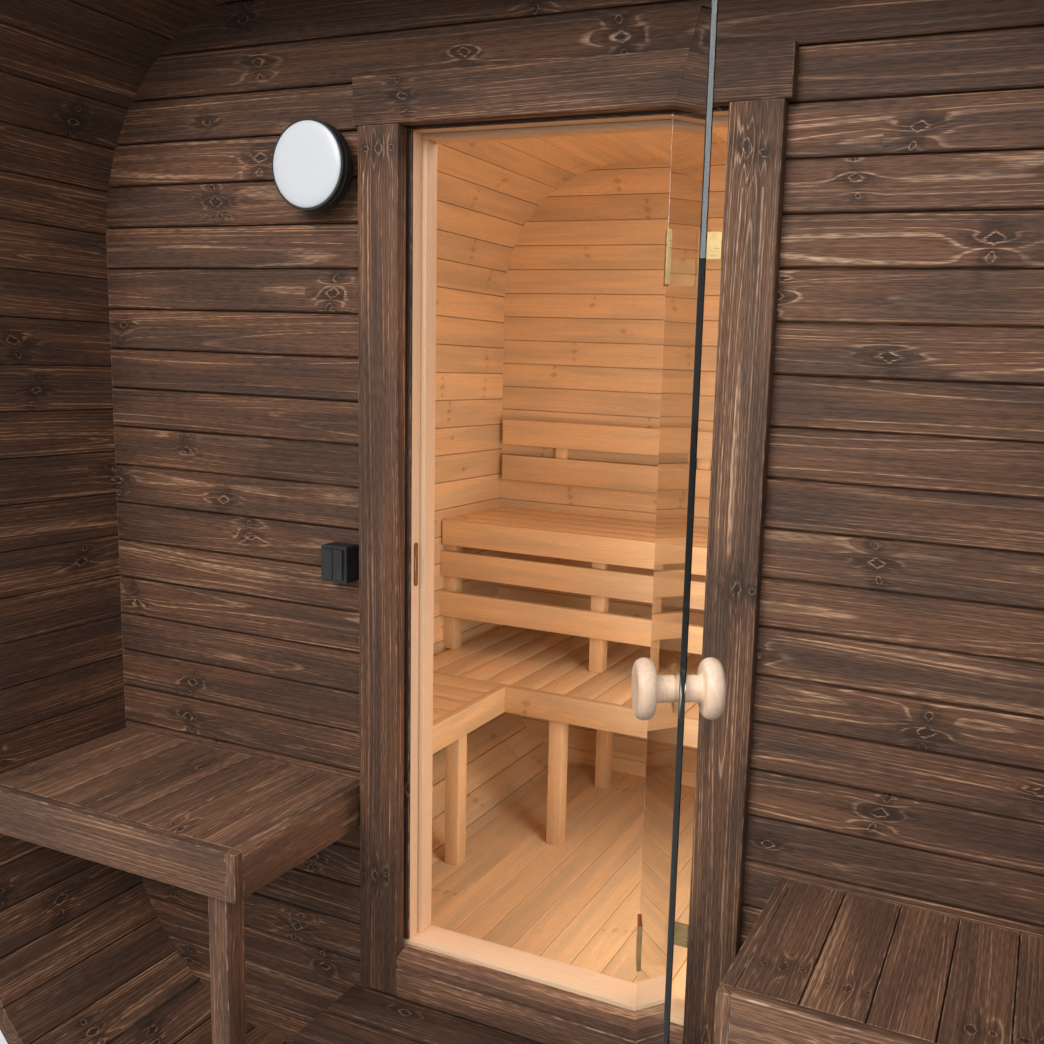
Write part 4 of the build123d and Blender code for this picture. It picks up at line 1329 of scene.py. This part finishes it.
@dataclass
class SteamRoom(Assembly):
    """The floor, the stepped benches and the backrest of the steam room."""

    floor_pitch: float = 0.090
    board_t: float = 0.026
    slat_w: float = 0.094
    slat_gap: float = 0.006
    lower_apron_h: float = 0.085
    upper_apron_h: float = 0.090
    skirt_gap: float = 0.024
    skirt_space: float = 0.059
    arm_depth: float = 0.428
    lower_depth: float = 0.686
    arm_start: float = 0.150
    upper_end: float = 0.008
    leg: float = 0.048
    front_leg_x: float = 0.530
    back_leg_x: float = 0.580
    arm_leg_y: float = 0.210
    back_leg_y: float = 0.150
    post_x: float = 0.517
    rest_board_h: float = 0.097

    def __post_init__(self) -> None:
        """Works out where the lower bench's arms lie."""
        self.arm = self.arm_depth - self.plan.side_x
        self.front = self.plan.back_y - self.lower_depth
        self.start = self.plan.wall_in_y + self.arm_start
        self.pitch = self.slat_w + self.slat_gap

    def build(self) -> None:
        """Builds everything in the room."""
        self.floor()
        self.lower_back()
        self.lower_side()
        self.lower_legs()
        self.upper()
        self.skirt()
        self.backrest()

    def pile(self, seed: int) -> TimberPile:
        """Starts a pile of bare spruce."""
        return TimberPile(self.palette[Slot.ROOM], seed)

    def slats(self, length: float, count: int, pitch: float, seed: int) -> BoardRow:
        """Returns a row of bench slats."""
        return BoardRow(length, self.slat_w, self.board_t, count, pitch, ease=0.002, seed=seed)

    def floor(self) -> None:
        """Builds the floor boards, which run from the door to the back wall."""
        low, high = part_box("room_floor")
        count = math.ceil((high.x - low.x) / self.floor_pitch)
        row = BoardRow(high.y - low.y, self.floor_pitch, self.board_t, count, self.floor_pitch, ease=0.0016,
                       ease_count=1, gap=0.0022, groove=0.006, seed=71)
        place = axes((0, 1, 0), (0, 0, 1), (0, (low.y + high.y) / 2, high.z - self.board_t / 2))
        self.pile(71).row(row, row.centred(place)).clip(self.plan.lining).piece("floor_boards", "room_floor")

    def lower_back(self) -> None:
        """Builds the lower bench's arm along the back wall."""
        t, front, back, arm = self.board_t, self.front, self.plan.back_y, self.arm
        _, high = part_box("lower_bench_back")
        edge, top = high.x, high.z
        count = int(2 * edge // self.pitch)
        lead = (2 * edge - count * self.pitch + self.slat_gap) / 2
        depth = self.lower_depth - t
        place = axes((0, 1, 0), (0, 0, 1),
                     (-edge + lead + self.slat_w / 2, front + t + depth / 2, top - t / 2))
        pile = self.pile(73).row(self.slats(depth, count, -self.pitch, 73), place)
        under, base = top - t, top - self.lower_apron_h
        middle = front + self.lower_depth / 2
        pile.plank((arm - t, front, base), (edge, front + t, top), Grain.X, 0.002)
        pile.plank((-edge, back - t, base), (edge, back, under), Grain.X)
        pile.plank((-edge, middle - t / 2, base), (edge, middle + t / 2, under), Grain.X)
        pile.plank((-edge, front, base), (arm - t, front + 2 * t, under), Grain.X)
        pile.piece("lower_bench_back_boards", "lower_bench_back")

    def lower_side(self) -> None:
        """Builds the lower bench's arm along the left wall."""
        t, front, start, inner = self.board_t, self.front, self.start, self.arm - self.board_t
        low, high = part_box("lower_bench_side")
        wall, top = low.x, high.z
        count = int((front - start + t) // self.pitch)
        first = front + t - self.slat_gap - self.slat_w / 2
        place = Matrix.Translation(((wall + inner) / 2, first, top - t / 2))
        pile = self.pile(79).row(self.slats(inner - wall, count, -self.pitch, 79), place)
        base, under = top - self.lower_apron_h, top - t
        pile.plank((inner, start, base), (self.arm, front, top), Grain.Y, 0.002)
        pile.plank((wall, start, base), (wall + t, front, under), Grain.Y)
        pile.plank((wall + t, start, base), (inner, start + t, under), Grain.X)
        pile.piece("lower_bench_side_boards", "lower_bench_side")

    def lower_legs(self) -> None:
        """Builds the legs, cut to the floor or to the staves that curve up beside it."""
        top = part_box("lower_bench_legs")[1].z
        half = self.leg / 2
        at_arm, near_y = self.arm - self.board_t - half, self.front + self.board_t + half
        back_y = self.plan.back_y - self.back_leg_y
        pile = self.pile(83)
        for x, y in ((at_arm, self.start + self.board_t + half), (at_arm, self.front - self.arm_leg_y),
                     (-self.front_leg_x, near_y), (self.front_leg_x, near_y), (-self.back_leg_x, back_y),
                     (self.back_leg_x, back_y)):
            pile.plank((x - half, y - half, self.plan.floor_z), (x + half, y + half, top), Grain.Z, 0.002)
        pile.clip(self.plan.lining).piece("lower_bench_leg_posts", "lower_bench_legs")

    def upper(self) -> None:
        """Builds the upper bench: slats along the back wall behind a front apron, on four bearers."""
        low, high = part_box("upper_bench")
        side, t, top = self.plan.side_x, self.board_t, high.z
        room = high.y - low.y - t
        count = int((room + self.slat_gap) // self.pitch)
        lead = (room - count * self.pitch + self.slat_gap) / 2
        place = Matrix.Translation((0, low.y + t + lead + self.slat_w / 2, top - t / 2))
        pile = self.pile(89).row(self.slats(2 * side, count, self.pitch, 89), place)
        end, base = side - self.upper_end, top - self.upper_apron_h
        pile.plank((-end, low.y, base), (end, low.y + t, top), Grain.X, 0.002)
        step = (2 * side - self.leg) / 3
        for x in (-side + k * step for k in range(4)):
            pile.plank((x, low.y + t, base), (x + self.leg, high.y, top - t), Grain.Y)
        pile.piece("upper_bench_boards", "upper_bench")

    def skirt(self) -> None:
        """Builds the two skirt boards below the upper bench and the posts behind them."""
        low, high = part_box("bench_skirt")
        front, h, half = low.y + self.board_t, self.upper_apron_h, self.leg / 2
        upper = high.z - self.skirt_gap - h
        pile = self.pile(97)
        for z in (upper, upper - self.skirt_space - h):
            pile.plank((low.x, low.y, z), (high.x, front, z + h), Grain.X, 0.002)
        end = self.plan.side_x - half
        for x in (-end, -self.post_x, self.post_x, end):
            pile.plank((x - half, front, low.z), (x + half, front + self.leg, high.z), Grain.Z)
        pile.piece("skirt_boards", "bench_skirt")

    def backrest(self) -> None:
        """Builds the backrest's two boards on their battens."""
        low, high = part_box("backrest")
        start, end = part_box("backrest_battens")
        h = self.rest_board_h
        pile = self.pile(101).plank(low, (high.x, high.y, low.z + h), Grain.X, 0.0025)
        pile.plank((low.x, low.y, high.z - h), high, Grain.X, 0.0025).piece("backrest_boards", "backrest")
        pile = self.pile(107)
        step = (end.x - start.x - self.leg) / 3
        for x in (start.x + k * step for k in range(4)):
            pile.plank((x, start.y, low.z), (x + self.leg, end.y, high.z), Grain.Z)
        pile.piece("backrest_batten_strips", "backrest_battens")


@dataclass
class Cradles(Assembly):
    """The three cross cradles below the shell."""

    thickness: float = 0.095
    inset: float = 0.150

    def build(self) -> None:
        """Builds the cradles, cut to the shell's outer face."""
        p, half = self.plan, self.thickness / 2
        low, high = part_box("cradles")
        # The cradles take the lighter coat, whose tone is painted light.
        pile = TimberPile(self.palette.handled, 103)
        for y in (p.front_y + self.inset, p.mid_y, p.rear_y - self.inset):
            pile.plank((low.x, y - half, low.z), (high.x, y + half, p.under_z), Grain.X, 0.002)
        pile.piece("cradle_beams", "cradles")


@dataclass
class Lamp(Assembly):
    """The round wall lamp: an opal cover in a black ring."""

    rim_w: float = 0.0045
    crown: float = 0.006
    steps: int = 10
    chamfer: float = 0.0002
    play: float = 0.0003

    def build(self) -> None:
        """Builds the cover and its ring in place of the plain cover."""
        low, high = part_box("lamp_diffuser")
        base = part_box("lamp_base")
        deep, outer = high.y - low.y, (base[1].x - base[0].x) / 2
        place = axes((1, 0, 0), (0, -1, 0), ((low.x + high.x) / 2, high.y, (low.z + high.z) / 2))
        edge, rim = outer - self.rim_w, deep - self.crown
        angles = [math.radians(90 * k / self.steps) for k in range(1, self.steps)]
        dome = [(0.0, 0.0), (edge, 0.0), (edge, rim),
                *((edge * math.cos(a) ** 0.35, rim + self.crown * math.sin(a)) for a in angles), (0.0, deep)]
        Lathe(self.palette[Slot.LAMP_OPAL], 72).turn(dome, place).piece("lamp_cover", "lamp_diffuser")
        near, foot = edge + self.play, self.chamfer
        r = (outer - near) / 4
        ring = [(near, foot), (outer - r, foot), (outer, foot + r), (outer, rim - r), (outer - r, rim),
                (near, rim)]
        Lathe(self.palette[Slot.LAMP_BLACK], 72).turn(ring, place, closed=True).piece("lamp_ring")


@dataclass
class Strike(Assembly):
    """The slotted strike plate with its two screws, let into the left jamb."""

    slot_w: float = 0.0052
    slot_h: float = 0.030
    screw_r: float = 0.0030
    screw_inset: float = 0.012
    sunk: float = 0.0008

    def build(self) -> None:
        """Builds the plate round its slot and sets the screws."""
        low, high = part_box("strike_plate")
        cy, cz = (low.y + high.y) / 2, (low.z + high.z) / 2
        half_w, half_h = (high.y - low.y) / 2, (high.z - low.z) / 2
        plate = Lathe(self.palette[Slot.STRIKE], 20)
        paths = self.stadium(half_w, half_h), self.stadium(self.slot_w / 2, self.slot_h / 2)
        (a, b), (c, d) = ([[plate.bm.verts.new((x, cy + u, cz + v)) for u, v in path] for path in paths]
                          for x in (low.x, high.x))
        for k in range(len(a)):
            n = (k + 1) % len(a)
            for one, other in ((a, c), (b, d), (a, b), (c, d)):
                plate.bm.faces.new((one[k], one[n], other[n], other[k]))
        r = self.screw_r
        head = [(0.0, 0.0), (r, 0.0), (r, 0.0012), (r * 0.7, 0.0018), (r * 0.35, 0.0019), (0.0, 0.0011)]
        for side in (-1, 1):
            spot = (high.x - self.sunk, cy, cz + side * (half_h - self.screw_inset))
            plate.turn(head, axes((0, 1, 0), (1, 0, 0), spot))
        plate.piece("strike_plate_slotted", "strike_plate")

    @staticmethod
    def stadium(half_w: float, half_h: float, arc: int = 12) -> list[tuple[float, float]]:
        """Draws a slot's outline: two half circles joined by straight sides.

        Args:
            half_w: half its width.
            half_h: half its height.
            arc: the steps of each half circle.

        Returns:
            Its points.
        """
        return [(half_w * math.cos(start + math.pi * k / arc),
                 side * (half_h - half_w) + half_w * math.sin(start + math.pi * k / arc))
                for side, start in ((1, 0.0), (-1, math.pi)) for k in range(arc + 1)]


@dataclass
class Knobs(Assembly):
    """The two turned knobs, back to back on the leaf, with a thin metal disc under each neck."""

    rose_r: float = 0.032
    rose_t: float = 0.0025
    radius: float = 0.039
    flat_r: float = 0.0295
    neck_r: float = 0.0172
    neck: float = 0.0285
    cove: float = 0.004
    thick: float = 0.0245
    hollow: float = 0.002
    play: float = 0.0001

    def build(self) -> None:
        """Builds both knobs and both discs about the axis of the plain ones."""
        centre = sum(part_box("knob_roses"), Vector()) / 2
        ends = {node: sum(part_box(node), Vector()) / 2 for node in ("knob_outer", "knob_inner")}
        out = (ends["knob_outer"] - ends["knob_inner"]).normalized()
        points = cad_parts["knob_roses"].data.vertices
        face = min(abs((v.co - centre).dot(out)) for v in points) + self.play
        discs = Lathe(self.palette[Slot.ROSE], 48)
        r, t = self.rose_r, self.rose_t
        disc = [(0.0, 0.0), (r, 0.0), (r, t * 0.45), (r - t * 0.5, t), (r * 0.5, t), (0.0, t)]
        for node, away in (("knob_outer", out), ("knob_inner", -out)):
            discs.turn(disc, axes((0, 0, 1), away, centre + away * face))
            place = axes((0, 0, 1), away, centre + away * (face + t + self.play))
            knob = Lathe(self.palette[Slot.BEECH], 56).turn(self.profile(), place)
            knob.piece(node + "_turned", node, body=Body.DOOR)
        discs.piece("knob_rose_discs", "knob_roses", body=Body.DOOR)

    def profile(self) -> list[tuple[float, float]]:
        """Draws half of a knob's outline: neck, cove, full rim and faintly hollow face."""
        start, r, cove = self.neck - self.rose_t, self.neck_r, self.cove
        half, flat = self.thick / 2, self.flat_r
        turns = [math.radians(30 * k) for k in range(1, 4)]
        rim = [math.radians(-90 + 15 * k) for k in range(13)]
        return [(0.0, 0.0), (r - 0.0008, 0.0), (r, 0.0008), (r, start - cove),
                *((r + cove * (1 - math.cos(a)), start - cove + cove * math.sin(a)) for a in turns),
                *((flat + (self.radius - flat) * math.cos(a), start + half + half * math.sin(a))
                  for a in rim),
                (flat * 0.55, start + self.thick - self.hollow),
                (0.0, start + self.thick - self.hollow * 1.3)]


@dataclass
class Pane(Assembly):
    """The glass leaf with its ground arrises, made from a merged copy of the plain one."""

    arris: float = 0.0012

    def build(self) -> None:
        """Builds the leaf in place of the plain one."""
        work = Work(self.palette[Slot.GLASS], 0.0)
        bm = work.bm
        bm.from_mesh(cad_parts["door_glass"].data)
        bmesh.ops.remove_doubles(bm, verts=bm.verts[:], dist=1e-6)
        bmesh.ops.dissolve_limit(bm, angle_limit=math.radians(1), verts=bm.verts[:], edges=bm.edges[:])
        sharp = [e for e in bm.edges if e.calc_face_angle(0.0) > math.radians(60)]
        bmesh.ops.bevel(bm, geom=sharp, offset=self.arris, segments=1, profile=0.5, affect="EDGES",
                        clamp_overlap=True)
        work.piece("glass_leaf", "door_glass", body=Body.DOOR)


@dataclass
class Fittings(Assembly):
    """Nodes of the frame whose own shape shows, and which only take a finish."""

    def build(self) -> None:
        """Puts each node's finish on it."""
        finishes = {"bands": Slot.BAND, "lamp_base": Slot.LAMP_BLACK, "switch_box": Slot.SWITCH,
                    "switch_rockers": Slot.SWITCH, "frame_hinges": Slot.HINGE, "door_hinges": Slot.HINGE}
        for node, slot in finishes.items():
            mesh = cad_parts[node].data
            mesh.materials.clear()
            mesh.materials.append(self.palette[slot].material)
            LOG.info("%s: finish %s", node, slot.value)


@dataclass
class Studio(Assembly):
    """The plain pale floor, the lamps and the camera."""

    lens: float = 34.87
    shift_x: float = -0.113
    eye: tuple[float, float, float] = (0.8785, -1.698, 1.704)
    yaw: float = 22.16
    pitch: float = 8.69
    roll: float = -2.24
    floor_size: float = 60.0
    floor_glow: float = 0.26
    sky_light: float = 0.42

    @staticmethod
    def seen(b: NodeBench) -> Socket:
        """Returns 1 for rays that show the background: the camera's and those off metal or through glass."""
        path = b.node("ShaderNodeLightPath").outputs
        return b.math("MAXIMUM", path["Is Camera Ray"],
                      b.math("MAXIMUM", path["Is Glossy Ray"], path["Is Transmission Ray"]))

    def build(self) -> None:
        """Builds the stage."""
        self.floor()
        self.world()
        self.lights()
        self.camera()

    def floor(self) -> None:
        """Builds the pale floor, which shows brighter than it is but isn't sampled as a lamp."""
        mesh = bpy.data.meshes.new("studio_floor")
        s = self.floor_size / 2
        mesh.from_pydata([(-s, -s, 0), (s, -s, 0), (s, s, 0), (-s, s, 0)], [], [(0, 1, 2, 3)])
        b = MaterialBench("studio_floor")
        b.material.cycles.emission_sampling = "NONE"
        seen = self.seen(b)
        b.dress({"Base Color": b.mix(seen, tone(120, 118, 114), tone(226, 225, 222)), "Roughness": 0.9,
                 "Emission Color": tone(236, 236, 234), "Emission Strength": b.times(seen, self.floor_glow)})
        mesh.materials.append(b.material)
        plane = bpy.data.objects.new("studio_floor", mesh)
        bpy.context.scene.collection.objects.link(plane)

    def world(self) -> None:
        """Sets a plain soft sky."""
        world = bpy.data.worlds.new("studio")
        bpy.context.scene.world = world
        world.use_nodes = True
        b = NodeBench(world.node_tree)
        light = tuple(self.sky_light * v for v in (0.90, 0.95, 1.0))
        shown = b.mix(self.seen(b), light, tone(226, 229, 233))
        b.feed(world.node_tree.nodes["Background"], {"Color": shown})

    def lights(self) -> None:
        """Adds the soft key and fill lights before the terrace and the two lamps for the steam room."""
        front = self.plan.wall_in_y + 0.30
        for name, place, target, size, power, colour in (
                ("key", (-0.7, -4.8, 4.1), (0.0, -0.7, 1.3), (2.6, 2.2), 174.0, (1.0, 0.98, 0.95)),
                ("fill", (2.9, -4.7, 3.05), (0.2, -0.7, 1.2), (1.6, 1.6), 46.0, (0.97, 0.98, 1.0)),
                ("room_front", (0.66, front, 1.10), (-0.05, 1.0, 0.75), (0.6, 1.3), 16.0, (1.0, 0.97, 0.93)),
                ("room_top", (0.2, 0.0, 2.38), (0.2, 0.1, 0.6), (1.2, 1.0), 5.6, (1.0, 0.97, 0.93))):
            data = bpy.data.lights.new(name, "AREA")
            data.shape = "RECTANGLE"
            data.size, data.size_y = size
            data.energy = power
            data.color = colour
            lamp = bpy.data.objects.new(name, data)
            lamp.location = place
            lamp.rotation_euler = (Vector(target) - Vector(place)).to_track_quat("-Z", "Y").to_euler()
            bpy.context.scene.collection.objects.link(lamp)

    def camera(self) -> None:
        """Places the camera as the photograph's stood."""
        yaw, pitch, roll = (math.radians(v) for v in (self.yaw, self.pitch, self.roll))
        ahead = Vector((-math.sin(yaw) * math.cos(pitch), math.cos(yaw) * math.cos(pitch), -math.sin(pitch)))
        right = Vector((math.cos(yaw), math.sin(yaw), 0.0))
        down = ahead.cross(right)
        right, down = (math.cos(roll) * right + math.sin(roll) * down,
                       -math.sin(roll) * right + math.cos(roll) * down)
        matrix = Matrix((right, -down, -ahead)).transposed().to_4x4()
        matrix.translation = (self.eye[0], self.plan.wall_y + self.eye[1], self.eye[2])
        data = bpy.data.cameras.new("photo_view")
        data.sensor_fit = "HORIZONTAL"
        data.sensor_width = 36.0
        data.lens = self.lens
        data.shift_x = self.shift_x
        data.clip_start = 0.01
        camera = bpy.data.objects.new("photo_view", data)
        camera.matrix_world = matrix
        bpy.context.scene.collection.objects.link(camera)
        bpy.context.scene.camera = camera


def main() -> None:
    """Builds the sauna's pieces in order, then the studio."""
    logging.basicConfig(level=logging.INFO, format="%(name)s: %(message)s")
    plan = Plan()
    palette = Palette(((plan.wall_y + plan.wall_in_y) / 2, (plan.back_y + plan.back_out_y) / 2))
    for part in (Shell, EndWalls, DoorSurround, Terrace, SteamRoom, Cradles, Lamp, Strike, Knobs, Pane,
                 Fittings, Studio):
        part(plan, palette).build()
    bpy.context.scene.view_settings.view_transform = "Standard"


if __name__ == "__main__":
    main()
